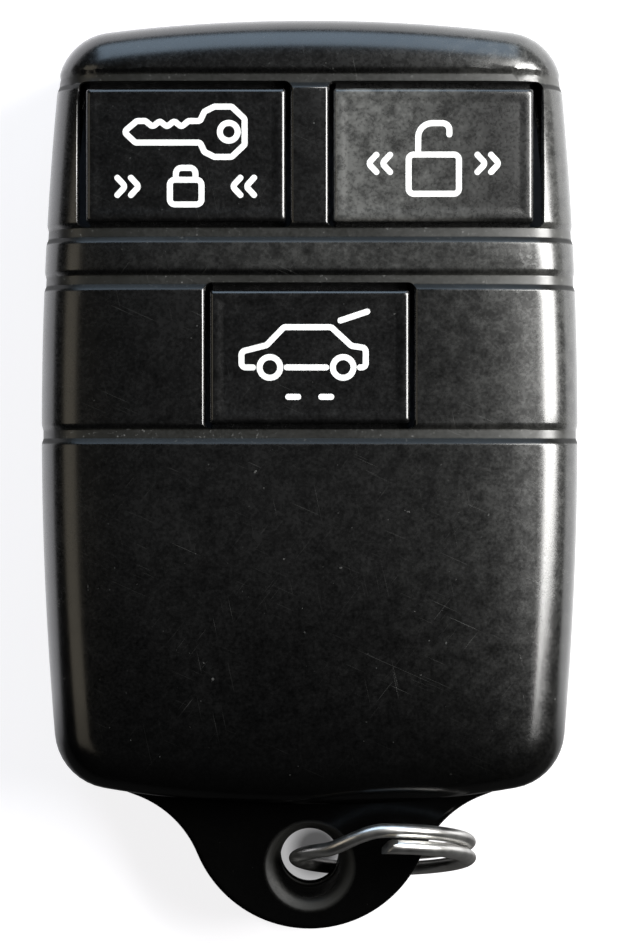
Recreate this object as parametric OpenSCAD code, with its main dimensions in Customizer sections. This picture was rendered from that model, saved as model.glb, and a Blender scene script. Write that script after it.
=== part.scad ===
// Keyless-entry fob: two snapped plastic shells, three sprung keys over a rubber keypad, a radio
// board, two stacked coin cells, and a split key ring in a lug.
// Millimetres. The back face lies on z = 0, the front face looks up and the top end lies towards +Y.
// The origin is under the middle of the overall length, lug included.

/* [Case] */
// Greatest width of the case, at its waist
case_w = 38; // [35:0.5:42]
// Length of the case, without the lug
case_l = 54.8; // [52:0.2:60]
// Thickness from the back face to the front face
case_h = 13; // [12.4:0.1:15]
// Height of the joint between the shells above the back face
parting_z = 5; // [4:0.1:5.6]
// Side wall of the front shell
wall = 1.5; // [1.2:0.05:1.8]
// Thickness of the front face
face_t = 1.6; // [1.3:0.05:2]
// Thickness of the back face
back_t = 1.4; // [1:0.05:1.8]
// Radius of the bowed sides, seen from the front
side_r = 250; // [200:10:400]
// Distance from the top end down to the waist
waist_down = 28.7; // [24:0.1:34]
// Radius of the arched top end
top_arch_r = 120; // [100:5:200]
// Radius of the two top corners
top_corner_r = 4; // [3.8:0.1:6]
// Radius of the two lower corners
low_corner_r = 4.7; // [4:0.1:6]
// Rounding of the front face's edge
front_edge_r = 3; // [1.5:0.1:3.4]
// Rounding of the back face's edge
back_edge_r = 1.8; // [0.8:0.1:2.4]
// Rounding inside, between the front shell's wall and its face
cavity_edge_r = 0.6; // [0.3:0.05:0.9]

/* [Joint between the shells] */
// Clearance between the rear cover's lip and the front shell's wall
lip_gap = 0.1; // [0.05:0.01:0.2]
// Thickness of the lip
lip_t = 0.9; // [0.7:0.05:1.2]
// Height of the lip above the joint
lip_h = 1.8; // [1.4:0.1:2.2]
// Radius of the snap beads on the lip
bead_r = 0.35; // [0.25:0.01:0.45]
// Length of each snap bead
bead_l = 5; // [3:0.5:8]
// Distance of the snap beads from the ends of the case
bead_in = 13; // [10:0.5:16]
// Clearance round each bead in its recess
bead_gap = 0.1; // [0.05:0.01:0.15]
// Width of the coin slot in the tip of the lug
pry_w = 6; // [4:0.5:8]
// Depth of the coin slot
pry_d = 1; // [0.6:0.1:1.2]
// Height of the coin slot below the joint
pry_h = 0.8; // [0.5:0.1:1.2]

/* [Face] */
// Distance from the top end to the middle of the first groove
cap_band = 4.4; // [4.2:0.1:6]
// Height of each key band, from groove to groove
key_band = 10.75; // [9.5:0.05:12]
// Height of the ridge between the key bands, from groove to groove
ridge_band = 3.3; // [3:0.1:4]
// Width of the grooves
groove_w = 1.05; // [0.7:0.05:1.3]
// Depth of the grooves
groove_d = 0.4; // [0.2:0.05:0.6]

/* [Keys] */
// Frame left beside the upper keys
side_frame = 1.9; // [1.8:0.05:3]
// Divider between the two upper keys
divider_w = 2.7; // [2.2:0.1:4]
// Gap between a key and its opening
key_gap = 0.3; // [0.15:0.05:0.4]
// How far an opening reaches into the grooves above and below it
key_reach = 0.1; // [0.05:0.01:0.2]
// Corner radius of the openings
key_corner_r = 0.75; // [0.6:0.05:1.2]
// Rounding of a key's top edge
key_edge_r = 0.35; // [0.15:0.05:0.5]
// Travel of a key
key_travel = 0.8; // [0.5:0.05:1]
// How far a key's flange reaches under the face, above and below the key
key_flange = 0.85; // [0.7:0.05:0.95]
// How far the flange stays inside the key's sides
key_flange_in = 0.3; // [0.2:0.05:0.6]
// Thickness of the flange
key_flange_t = 0.8; // [0.6:0.05:1]
// Clearance of the flange under the face, at rest
key_rest_gap = 0.05; // [0.02:0.01:0.1]

/* [Keypad] */
// Thickness of the keypad sheet
sheet_t = 0.7; // [0.5:0.05:0.8]
// How far the sheet reaches below the lowest groove
sheet_below = 1.5; // [0.5:0.1:3]
// Outer radius of a dome at its foot
dome_foot_r = 4.2; // [3.8:0.1:4.4]
// Radius of a dome's flat top
dome_top_r = 2.8; // [2.6:0.1:3.2]
// Width of a dome's foot on the sheet
dome_foot_w = 0.6; // [0.4:0.05:0.8]
// Thickness of a dome's top
dome_plate_t = 0.5; // [0.4:0.05:0.6]
// Radius of a contact pill
pill_r = 1.9; // [1.5:0.1:2.1]
// Thickness of a contact pill
pill_t = 0.4; // [0.3:0.05:0.5]
// Gap left under a pill when its key is pressed right down
contact_gap = 0.01; // [0.01:0.01:0.05]
// Thickness of the ribs that hold the sheet down
rib_t = 0.8; // [0.6:0.1:1]

/* [Board] */
// Thickness of the circuit board
board_t = 1; // [0.8:0.1:1.2]
// Clearance between the board and the front shell's wall
board_gap = 0.5; // [0.3:0.05:0.8]
// Thickness of the copper
copper_t = 0.05; // [0.04:0.01:0.1]
// Radius of a contact pad
pad_r = 2.4; // [1.8:0.1:3]
// Slit between the halves of a contact pad
pad_slit = 0.5; // [0.3:0.05:0.8]
// Radius of the posts that carry the board
post_r = 1.5; // [1:0.1:1.8]
// Distance of the posts from the sides of the case
post_in = 6.8; // [6.6:0.1:7.4]
// Distance of the posts from the ends of the case
post_end = 5.8; // [5.4:0.1:6.4]
// Width of the antenna's track
loop_w = 1; // [0.6:0.1:1.4]
// Distance of the antenna's track from the board's edge
loop_in = 0.5; // [0.3:0.1:0.8]
// Gap between the ends of the antenna's track
loop_slit = 3; // [2:0.5:6]

/* [Parts on the board] */
// Length of the encoder chip
chip_l = 9.9; // [8:0.1:11]
// Width of the encoder chip
chip_w = 3.9; // [3.5:0.1:5]
// Height of the encoder chip
chip_h = 1.5; // [1.2:0.1:2]
// Gap between the chip and the board
chip_lift = 0.15; // [0.1:0.05:0.25]
// Spacing of the chip's leads
lead_pitch = 1.27; // [1:0.01:1.27]
// Width of a lead
lead_w = 0.42; // [0.3:0.02:0.5]
// Thickness of a lead
lead_t = 0.2; // [0.15:0.01:0.25]
// How far the leads reach beyond the chip
lead_out = 1.05; // [0.8:0.05:1.3]
// Diameter of the radio resonator's can
can_d = 8.3; // [7:0.1:8.6]
// Diameter of the radio resonator's flange
can_flange_d = 9.3; // [8.8:0.1:9.6]
// Height of the radio resonator
can_h = 3.2; // [2.5:0.1:3.5]
// Thickness of the radio resonator's flange
can_flange_t = 0.5; // [0.3:0.1:0.8]
// Length of the clock resonator
clock_l = 7; // [6:0.1:8]
// Width of the clock resonator
clock_w = 3; // [2.4:0.1:3.4]
// Height of the clock resonator
clock_h = 2; // [1.6:0.1:2.6]
// Length of the transistor's body
transistor_l = 2.9; // [2.6:0.1:3.2]
// Width of the transistor's body
transistor_w = 1.3; // [1.1:0.1:1.6]
// Height of the transistor's body
transistor_h = 1; // [0.8:0.1:1.2]
// Spacing of the transistor's two lower leads
transistor_pitch = 1.9; // [1.6:0.1:2]
// How far the transistor's leads reach beyond its body
transistor_lead = 0.55; // [0.4:0.05:0.7]
// Length of a chip resistor or capacitor
small_l = 2; // [1.6:0.1:2.2]
// Width of a chip resistor or capacitor
small_w = 1.25; // [0.8:0.05:1.4]
// Height of a chip resistor
resistor_h = 0.5; // [0.4:0.05:0.7]
// Height of a chip capacitor
capacitor_h = 0.9; // [0.6:0.05:1.2]
// Spacing of the chip resistors and capacitors in their rows
small_pitch = 3; // [2.6:0.1:3.2]
// Distance of the chip's middle from the case's middle line, to the left
chip_left = 5.6; // [5:0.1:6]
// Distance of the chip's middle from the top end
chip_down = 19; // [18:0.1:19.6]
// Distance of the radio resonator's middle from the case's middle line, to the right
can_right = 7.4; // [6:0.1:8]
// Distance of the radio resonator's middle from the top end
can_down = 12.2; // [11:0.1:13]
// Distance of the clock resonator's middle from the case's middle line, to the left
clock_left = 6.4; // [4:0.1:7.4]
// Distance of the clock resonator's middle from the top end
clock_down = 11; // [10.6:0.1:12.4]
// Distance of the transistor's middle from the case's middle line, to the right
transistor_right = 7.4; // [6.4:0.1:9]
// Distance of the row of resistors and the transistor from the top end
resistor_down = 25.6; // [25:0.1:26.4]
// Distance of the row of capacitors from the top end
capacitor_down = 20.2; // [19.8:0.1:22]

/* [Coin cells] */
// Diameter of a cell
cell_d = 20; // [18:0.5:21]
// Height of a cell
cell_t = 1.6; // [1.2:0.1:1.8]
// Sheet thickness of a cell's can
cell_can_t = 0.25; // [0.2:0.01:0.3]
// Width of the seal between the can and the cap
cell_seal_w = 0.9; // [0.6:0.1:1.2]
// How far the cap stands above the can's rim
cell_cap_step = 0.2; // [0.1:0.05:0.3]
// Clearance between the can, the seal and the cap
cell_fit = 0.02; // [0.01:0.01:0.05]
// Space between the cells and the case's lower end wall
cell_room = 1.6; // [1.5:0.1:3]
// Clearance of the cells in their cradle
cradle_gap = 0.25; // [0.15:0.05:0.4]
// Thickness of the cradle's wall
cradle_t = 0.8; // [0.6:0.1:1]
// Height of the cradle's wall above the back face's inside
cradle_h = 3; // [2:0.1:3.2]
// Thickness of the contacts' spring sheet
leaf_t = 0.3; // [0.2:0.05:0.4]
// Width of the contacts
leaf_w = 4; // [3:0.5:5]
// Gap between the cells' side and the positive clip's leg
clip_gap = 1.4; // [1.3:0.1:1.8]
// Clearance of the positive clip in the cradle's notch
clip_notch = 0.4; // [0.2:0.05:0.6]
// How far the positive clip's foot reaches past the cells' middle
clip_reach = 5; // [2:0.5:7]
// Length of the negative contact's foot on the board
leaf_foot = 4; // [3:0.5:5]
// Length of the negative contact's slope, along X
leaf_slope = 6; // [4:0.5:7]
// Length of the negative contact's tip on the cell
leaf_tip = 1.5; // [1:0.1:2]

/* [Lug] */
// How far the lug reaches beyond the case's lower end
lug_reach = 9.9; // [9:0.1:12]
// Radius of the lug's round end
lug_r = 8.85; // [8.5:0.05:10]
// Radius of the hollow blends between the lug and the case
lug_blend_r = 6.75; // [5:0.25:9]
// Height of the lug's underside above the back face
lug_low = 2.5; // [2.2:0.1:3]
// Thickness of the lug
lug_t = 5; // [4.4:0.1:5.2]
// Rounding of the lug's edges
lug_edge_r = 0.8; // [0.3:0.1:1.1]
// Diameter of the lug's hole
hole_d = 4.4; // [4.3:0.05:4.8]
// Distance from the lug's tip to the hole's axis
hole_in = 4.85; // [4.6:0.05:5.2]
// Diameter of the dish round the hole
dish_d = 6.4; // [6.2:0.1:6.8]
// Depth of the dish
dish_h = 1.1; // [1:0.05:1.3]

/* [Key ring] */
// Outer diameter of the ring
ring_d = 14.6; // [14.4:0.1:15.2]
// Width of the wire, across the ring
wire_w = 1.35; // [1.1:0.05:1.4]
// Thickness of the wire, along the ring's axis
wire_t = 1; // [0.8:0.05:1]
// Gap between the two coils
coil_gap = 0.42; // [0.41:0.01:0.5]
// Lean of the ring towards the case, in degrees
ring_lean = 10; // [4:1:11]
// Clearance of the ring above the surface that the fob lies on
ring_lift = 0.1; // [0.05:0.05:0.2]
// Clearance of the wire in the hole, on the side away from the ring's middle
ring_seat_gap = 0.3; // [0.25:0.05:0.4]
// How far the ring sits from the hole's axis, towards the case
ring_shift = 0.6; // [0.5:0.05:0.7]

/* [Hidden] */
$fn = 48;

plastic = [0.07, 0.07, 0.075];
rubber = [0.25, 0.25, 0.27];
copper = [0.72, 0.45, 0.2];
tinned = [0.75, 0.75, 0.72];
steel = [0.7, 0.7, 0.68];

// Overlap that makes cuts and joins clean
clean = 0.2;
// Largest share of a corner's radius that the rounding of its edge takes
most_round = 0.9;
corner_steps = 7;
side_steps = 8;
edge_steps = 5;

// Places along Y, from the top end down
y_top = (case_l + lug_reach) / 2;
y_low = y_top - case_l;
waist_y = y_top - waist_down;
groove_1 = y_top - cap_band;
groove_2 = groove_1 - key_band;
groove_3 = groove_2 - ridge_band;
groove_4 = groove_3 - key_band;
hole_y = -y_top + hole_in;

// Places along Z, from the front face down to the board
ceiling_z = case_h - face_t;
flange_z = ceiling_z - key_rest_gap - key_flange_t;
pill_z = flange_z - dome_plate_t - pill_t;
board_top = pill_z - key_travel - contact_gap - copper_t;
board_low = board_top - board_t;
sheet_top = board_top + sheet_t;

// Coin cells, from the back face up
cell_r = cell_d / 2;
cell_y = y_low + wall + lip_gap + lip_t + cell_room + cell_r;
lower_cell_z = back_t + leaf_t;
upper_cell_z = lower_cell_z + cell_t;
cells_top = upper_cell_z + cell_t;

lug_top = lug_low + lug_t;
rear_wall = wall + lip_gap + lip_t;
board_in = wall + board_gap;

// Circle meeting: the point at r1 from a and r2 from b, on the side that "turn" picks
function meet(a, r1, b, r2, turn) =
  let (d = b - a, l = norm(d), m = (l * l + r1 * r1 - r2 * r2) / (2 * l), h = sqrt(r1 * r1 - m * m))
  a + d * m / l + turn * h * [-d[1], d[0]] / l;
function angle_of(v) = atan2(v[1], v[0]);
function arc(c, r, from, to, steps) =
  [for (i = [0:steps]) let (a = from + (to - from) * i / steps) c + r * [cos(a), sin(a)]];
function flip(points) = [for (i = [len(points) - 1:-1:0]) [-points[i][0], points[i][1]]];
function ends_cut(points) = [for (i = [1:len(points) - 2]) points[i]];

// Outline of the case, seen from the front: bowed sides, an arched top and four round corners
side_c = [case_w / 2 - side_r, waist_y];
arch_c = [0, y_top - top_arch_r];
top_corner = meet(side_c, side_r - top_corner_r, arch_c, top_arch_r - top_corner_r, 1);
low_corner_y = y_low + low_corner_r;
low_corner_x = side_c[0] + sqrt((side_r - low_corner_r) ^ 2 - (low_corner_y - waist_y) ^ 2);
low_corner = [low_corner_x, low_corner_y];
low_angle = angle_of(low_corner - side_c);
top_angle = angle_of(top_corner - side_c);
arch_angle = angle_of(top_corner - arch_c);

function half_outline(in) = concat(
  arc(low_corner, low_corner_r - in, -90, low_angle, corner_steps),
  ends_cut(arc(side_c, side_r - in, low_angle, top_angle, side_steps)),
  arc(top_corner, top_corner_r - in, top_angle, arch_angle, corner_steps),
  ends_cut(arc(arch_c, top_arch_r - in, arch_angle, 90, side_steps / 2))
);
function outline(in) = concat(half_outline(in), [[0, y_top - in]], flip(half_outline(in)));
function half_w(y) = side_c[0] + sqrt(side_r ^ 2 - (y - waist_y) ^ 2);

// Outline of the lug: its round end, a hollow blend on each side, and a root inside the case's end wall
lug_c = [0, -y_top + lug_r];
blend_c = meet(lug_c, lug_r + lug_blend_r, low_corner, low_corner_r + lug_blend_r, -1);
blend_from = angle_of(lug_c - blend_c);
blend_to = angle_of(low_corner - blend_c);
root_y = y_low + wall - clean / 2;
// A point from which the whole of the outline is in sight
lug_mid = [0, (y_low + root_y) / 2];
function lug_side(in) = concat(
  arc(lug_c, lug_r - in, -90, blend_from - 180, side_steps),
  arc(blend_c, lug_blend_r + in, blend_from, blend_to, side_steps),
  [[low_corner[0], root_y]]
);
function lug_outline(in) = concat(lug_side(in), ends_cut(concat(flip(lug_side(in)), [[0, 0]])));

function round_rect(w, h, r, in) =
  let (c = [w / 2 - r, h / 2 - r])
  concat(
    arc([c[0], c[1]], r - in, 0, 90, corner_steps),
    arc([-c[0], c[1]], r - in, 90, 180, corner_steps),
    arc([-c[0], -c[1]], r - in, 180, 270, corner_steps),
    arc([c[0], -c[1]], r - in, 270, 360, corner_steps)
  );

// Insets and heights of a rounded edge of radius r whose flat lies at z; "up" is 1 for a top edge, -1 for a bottom one
function edge_ring(z, r, up, i) =
  let (a = 90 * i / edge_steps)
  [r - r * cos(a), z - up * (r - r * sin(a))];

// Solid between rings, each a list of points and a height, given from the lowest to the highest
module loft(rings, middle) {
  count = len(rings[0][0]);
  last = len(rings) - 1;
  ring_points = [for (ring = rings) for (p = ring[0]) [p[0], p[1], ring[1]]];
  low_pole = len(ring_points);
  low_point = [middle[0], middle[1], rings[0][1]];
  top_point = [middle[0], middle[1], rings[last][1]];
  walls = [
    for (i = [0:last - 1]) for (j = [0:count - 1])
    let (k = (j + 1) % count, a = i * count, b = a + count)
    each [[a + j, b + j, b + k], [a + j, b + k, a + k]]
  ];
  low_cap = [for (j = [0:count - 1]) [low_pole, j, (j + 1) % count]];
  top_cap = [for (j = [0:count - 1]) [low_pole + 1, last * count + (j + 1) % count, last * count + j]];
  polyhedron(concat(ring_points, [low_point, top_point]), concat(walls, low_cap, top_cap));
}

// The case's form from z0 up to a face at z1 whose edge is rounded by r, inset all round by "in"
module case_up(z0, z1, r, in) {
  edge = [for (i = [0:edge_steps]) edge_ring(z1, r, 1, i)];
  rings = concat([[outline(in), z0]], [for (e = edge) [outline(in + e[0]), e[1]]]);
  loft(rings, [0, 0]);
}

// The same from a rounded lower face at z0 up to z1
module case_down(z0, z1, r, in) {
  edge = [for (i = [edge_steps:-1:0]) edge_ring(z0, r, -1, i)];
  rings = concat([for (e = edge) [outline(in + e[0]), e[1]]], [[outline(in), z1]]);
  loft(rings, [0, 0]);
}

module plate(points, z0, z1) {
  translate([0, 0, z0])
    linear_extrude(z1 - z0)
      polygon(points);
}

module block(x0, x1, y0, y1, z0, z1) {
  translate([x0, y0, z0])
    cube([x1 - x0, y1 - y0, z1 - z0]);
}

module disc(x, y, z0, z1, r) {
  translate([x, y, z0])
    cylinder(h = z1 - z0, r = r);
}

// Key places: the two upper keys fill their band up to the side frames, the lower one has their width
open_w = half_w(groove_1) - side_frame - divider_w / 2;
open_h = key_band - groove_w + 2 * key_reach;
key_x = (divider_w + open_w) / 2;
upper_key_y = (groove_1 + groove_2) / 2;
lower_key_y = (groove_3 + groove_4) / 2;
key_w = open_w - 2 * key_gap;
key_h = open_h - 2 * key_gap;
KEY_PLACES = [[-key_x, upper_key_y], [key_x, upper_key_y], [0, lower_key_y]];

module keycap(place) {
  edge = [for (i = [0:edge_steps]) edge_ring(case_h, key_edge_r, 1, i)];
  r = key_corner_r - key_gap;
  rings = concat(
    [[round_rect(key_w, key_h, r, 0), flange_z + key_flange_t / 2]],
    [for (e = edge) [round_rect(key_w, key_h, r, min(e[0], r * most_round)), e[1]]]
  );
  flange_x = key_w / 2 - key_flange_in;
  flange_y = key_h / 2 + key_flange;
  translate([place[0], place[1], 0]) {
    loft(rings, [0, 0]);
    block(-flange_x, flange_x, -flange_y, flange_y, flange_z, flange_z + key_flange_t);
  }
}

module pill(place) {
  disc(place[0], place[1], pill_z, pill_z + pill_t, pill_r);
}

module dome(place) {
  translate([place[0], place[1], 0])
    rotate_extrude()
      polygon([
        [0, flange_z],
        [dome_top_r, flange_z],
        [dome_foot_r, sheet_top],
        [dome_foot_r - dome_foot_w, sheet_top],
        [pill_r + dome_foot_w / 2, flange_z - dome_plate_t],
        [0, flange_z - dome_plate_t]
      ]);
}

module lug_up() {
  edge = [for (i = [0:edge_steps]) edge_ring(lug_top, lug_edge_r, 1, i)];
  loft(concat([[lug_outline(0), parting_z]], [for (e = edge) [lug_outline(e[0]), e[1]]]), lug_mid);
}

module lug_down() {
  edge = [for (i = [edge_steps:-1:0]) edge_ring(lug_low, lug_edge_r, -1, i)];
  loft(concat([for (e = edge) [lug_outline(e[0]), e[1]]], [[lug_outline(0), parting_z]]), lug_mid);
}

module lug_hole() {
  translate([0, hole_y, 0]) {
    cylinder(h = case_h, r = hole_d / 2);
    translate([0, 0, lug_top - dish_h])
      cylinder(h = dish_h, r1 = hole_d / 2, r2 = dish_d / 2);
    translate([0, 0, lug_low])
      cylinder(h = dish_h, r1 = dish_d / 2, r2 = hole_d / 2);
  }
}

// Snap beads stand on the lip's outer face, two on each side
BEAD_Y = [y_top - bead_in, y_low + bead_in];

module beads(r, l) {
  for (y = BEAD_Y)
    for (side = [-1, 1])
      translate([side * (half_w(y) - rear_wall + lip_t), y, parting_z + lip_h / 2])
        rotate([90, 0, 0])
          cylinder(h = l, r = r, center = true);
}

module grooves() {
  difference() {
    for (y = [groove_1, groove_2, groove_3, groove_4])
      block(-case_w, case_w, y - groove_w / 2, y + groove_w / 2, parting_z - clean, case_h + clean);
    case_up(parting_z - 2 * clean, case_h - groove_d, front_edge_r - groove_d, groove_d);
  }
}

module sheet_ribs() {
  ridge_y = (groove_2 + groove_3) / 2;
  row_2_x = (open_w / 2 + half_w(lower_key_y) - wall) / 2;
  half = rib_t / 2;
  top = ceiling_z + face_t / 2;
  reach = half_w(ridge_y) - wall - 2 * board_gap;
  block(-half, half, ridge_y, groove_1, sheet_top, top);
  block(-reach, reach, ridge_y - half, ridge_y + half, sheet_top, top);
  for (side = [-1, 1])
    translate([side * row_2_x, 0, 0])
      block(-half, half, groove_4, ridge_y, sheet_top, top);
}

module front_shell() {
  color(plastic)
    difference() {
      union() {
        difference() {
          case_up(parting_z, case_h, front_edge_r, 0);
          case_up(parting_z - clean, ceiling_z, cavity_edge_r, wall);
          grooves();
          beads(bead_r + bead_gap, bead_l + 2 * bead_gap);
        }
        lug_up();
        sheet_ribs();
      }
      for (place = KEY_PLACES)
        translate([place[0], place[1], 0])
          plate(round_rect(open_w, open_h, key_corner_r, 0), ceiling_z - cavity_edge_r, case_h + clean);
      lug_hole();
    }
}

// The four posts that carry the board stand near the corners
module posts() {
  for (y = [y_top - post_end, y_low + post_end])
    for (side = [-1, 1])
      disc(side * (half_w(y) - post_in), y, back_t - clean, board_low, post_r);
}

module cradle() {
  notch = leaf_w / 2 + clip_notch;
  z0 = back_t - clean;
  z1 = back_t + cradle_h;
  inner_r = cell_r + cradle_gap;
  difference() {
    disc(0, cell_y, z0, z1, inner_r + cradle_t);
    disc(0, cell_y, z0 - clean, z1 + clean, inner_r);
    block(0, case_w, cell_y - notch, cell_y + notch, z0 - clean, z1 + clean);
  }
}

module rear_cover() {
  color(plastic)
    difference() {
      union() {
        difference() {
          case_down(0, parting_z, back_edge_r, 0);
          plate(outline(rear_wall), back_t, parting_z + clean);
        }
        difference() {
          plate(outline(wall + lip_gap), parting_z - clean, parting_z + lip_h);
          plate(outline(rear_wall), back_t, parting_z + lip_h + clean);
        }
        beads(bead_r, bead_l);
        posts();
        cradle();
        lug_down();
      }
      lug_hole();
      block(-pry_w / 2, pry_w / 2, -y_top - clean, -y_top + pry_d, parting_z - pry_h, parting_z + clean);
    }
}

module keypad_membrane() {
  color(rubber)
    difference() {
      intersection() {
        plate(outline(board_in), board_top, sheet_top);
        block(-case_w, case_w, groove_4 - sheet_below, y_top, board_top, sheet_top);
      }
      for (place = KEY_PLACES)
        disc(place[0], place[1], board_top - clean, sheet_top + clean, dome_foot_r - dome_foot_w);
    }
}

module circuit_board() {
  color([0.1, 0.35, 0.18])
    plate(outline(board_in), board_low, board_top);
}

module contact_pads() {
  color(copper)
    for (place = KEY_PLACES)
      difference() {
        disc(place[0], place[1], board_top, board_top + copper_t, pad_r);
        translate([place[0], place[1], 0])
          block(-pad_slit / 2, pad_slit / 2, -case_w, case_w, board_top - clean, board_top + clean);
      }
}

module antenna_loop() {
  outer = board_in + loop_in;
  z0 = board_low - copper_t;
  color(copper)
    difference() {
      plate(outline(outer), z0, board_low);
      plate(outline(outer + loop_w), z0 - clean, board_low + clean);
      block(-loop_slit / 2, loop_slit / 2, y_low, 0, z0 - clean, board_low + clean);
    }
}

// Parts on the board's underside, each placed by its middle
chip_at = [-chip_left, y_top - chip_down];
can_at = [can_right, y_top - can_down];
clock_at = [-clock_left, y_top - clock_down];
transistor_at = [transistor_right, y_top - resistor_down];
RESISTOR_X = [for (i = [-3:1]) i * small_pitch];
CAPACITOR_X = [for (i = [1:4]) i * small_pitch];
lead_count = floor((chip_l - lead_w) / lead_pitch) + 1;

module under_board(at, size, lift = 0) {
  translate([at[0] - size[0] / 2, at[1] - size[1] / 2, board_low - lift - size[2]])
    cube(size);
}

module encoder_chip() {
  color([0.12, 0.12, 0.13])
    under_board(chip_at, [chip_l, chip_w, chip_h], chip_lift);
}

module chip_leads() {
  knee_z = board_low - chip_lift - chip_h / 2;
  foot = lead_out - (lead_out - lead_t) / 2;
  profile = [
    [0, knee_z], [lead_out - foot + lead_t, knee_z],
    [lead_out - foot + lead_t, board_low - lead_t], [lead_out, board_low - lead_t],
    [lead_out, board_low], [lead_out - foot, board_low],
    [lead_out - foot, knee_z + lead_t], [0, knee_z + lead_t]
  ];
  color(tinned)
    for (side = [0, 180])
      for (i = [0:lead_count - 1])
        translate([chip_at[0] + (i - (lead_count - 1) / 2) * lead_pitch, chip_at[1], 0])
          rotate([0, 0, side])
            translate([-lead_w / 2, chip_w / 2, 0])
              rotate([90, 0, 90])
                linear_extrude(lead_w)
                  polygon(profile);
}

module saw_resonator() {
  color(steel)
    union() {
      disc(can_at[0], can_at[1], board_low - can_flange_t, board_low, can_flange_d / 2);
      disc(can_at[0], can_at[1], board_low - can_h, board_low - can_flange_t / 2, can_d / 2);
    }
}

module ceramic_resonator() {
  color([0.1, 0.25, 0.55])
    under_board(clock_at, [clock_l, clock_w, clock_h]);
}

// Each lead runs from under the body's middle outwards
module transistor() {
  reach = transistor_w / 2 + transistor_lead;
  lead = [lead_w, reach, lead_t];
  color([0.12, 0.12, 0.13])
    union() {
      under_board(transistor_at, [transistor_l, transistor_w, transistor_h]);
      for (side = [-1, 1])
        under_board(transistor_at + [side * transistor_pitch / 2, -reach / 2], lead);
      under_board(transistor_at + [0, reach / 2], lead);
    }
}

module chip_resistors() {
  color([0.15, 0.15, 0.16])
    for (x = RESISTOR_X)
      under_board([x, y_top - resistor_down], [small_l, small_w, resistor_h]);
}

module chip_capacitors() {
  color([0.6, 0.48, 0.33])
    for (x = CAPACITOR_X)
      under_board([x, y_top - capacitor_down], [small_l, small_w, capacitor_h]);
}

// A foot under the lower cell and a leg up to the board
module battery_clip_positive() {
  leg_x = cell_r + clip_gap;
  color(tinned)
    translate([0, cell_y, 0])
      union() {
        block(-clip_reach, leg_x, -leaf_w / 2, leaf_w / 2, back_t, back_t + leaf_t);
        block(leg_x - leaf_t, leg_x, -leaf_w / 2, leaf_w / 2, back_t, board_low);
      }
}

// A foot on the board and a leaf that slopes down to the upper cell's cap
module battery_contact_negative() {
  start = -(leaf_foot + leaf_slope + leaf_tip) / 2;
  bend = start + leaf_foot;
  touch = bend + leaf_slope;
  tip = touch + leaf_tip;
  color(tinned)
    translate([0, cell_y + leaf_w / 2, 0])
      rotate([90, 0, 0])
        linear_extrude(leaf_w)
          polygon([
            [start, board_low], [start, board_low - leaf_t], [bend, board_low - leaf_t],
            [touch, cells_top], [tip, cells_top], [tip, cells_top + leaf_t],
            [touch, cells_top + leaf_t], [bend + leaf_t, board_low]
          ]);
}

// Coin cell: a cup-shaped can, a ring-shaped seal and a cap that stands out of it, all facing up
module cell_can(z) {
  rim = z + cell_t - cell_cap_step;
  color(steel)
    difference() {
      disc(0, cell_y, z, rim, cell_r);
      disc(0, cell_y, z + cell_can_t, rim + clean, cell_r - cell_can_t);
    }
}

module cell_seal(z) {
  rim = z + cell_t - cell_cap_step;
  outer = cell_r - cell_can_t - cell_fit;
  color([0.5, 0.5, 0.5])
    difference() {
      disc(0, cell_y, z + cell_can_t, rim, outer);
      disc(0, cell_y, z + cell_can_t - clean, rim + clean, outer - cell_seal_w);
    }
}

module cell_cap(z) {
  cap_r = cell_r - cell_can_t - cell_seal_w - 2 * cell_fit;
  color(steel)
    disc(0, cell_y, z + cell_can_t, z + cell_t, cap_r);
}

// Split ring: one wire in two coils side by side. It starts with a free end at the top, runs down the
// far side and up through the lug's hole, crosses to the second coil and runs round again.
ring_start = 94;
ring_turn = 574;
cross_from = -165;
cross_to = -255;
ring_steps = 58;
wire_sides = 8;
coil_pitch = wire_t + coil_gap;
ring_mean_r = (ring_d - wire_w) / 2;
lean_y = sin(ring_lean);
lean_z = cos(ring_lean);
ring_z = ring_lift + ring_d / 2 * lean_z + (coil_pitch + wire_t) / 2 * lean_y;
ring_c = [
  ring_mean_r - (hole_d / 2 - wire_w / 2 - ring_seat_gap),
  hole_y + (ring_z - (lug_low + lug_top) / 2) * lean_y / lean_z + ring_shift,
  ring_z
];

function ramp(u) = let (v = min(max(u, 0), 1)) v * v * (3 - 2 * v);
function wire_angle(i) = ring_start - ring_turn * i / ring_steps;
function wire_along(a) = coil_pitch * (ramp((a - cross_from) / (cross_to - cross_from)) - 0.5);
function ring_point(a, r, along) = ring_c
  + [r * cos(a), r * sin(a) * lean_y + along * lean_z, r * sin(a) * lean_z - along * lean_y];
// The wire's section is a flat round-cornered octagon
function section(k) =
  let (a = 360 * (k + 0.5) / wire_sides)
  [wire_w / 2 * cos(a) / cos(180 / wire_sides), wire_t / 2 * sin(a) / cos(180 / wire_sides)];

// Least gap between the coils, measured between the points of the two coils
coil_points = [for (i = [0:ring_steps]) ring_point(wire_angle(i), ring_mean_r, wire_along(wire_angle(i)))];
turn_steps = floor(ring_steps * 360 / ring_turn);
least_gap = min([
  for (i = [0:ring_steps]) for (j = [i + turn_steps - 2:ring_steps])
  norm(coil_points[i] - coil_points[j])
]) - wire_t;
echo(least_gap_between_coils = least_gap);

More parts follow.
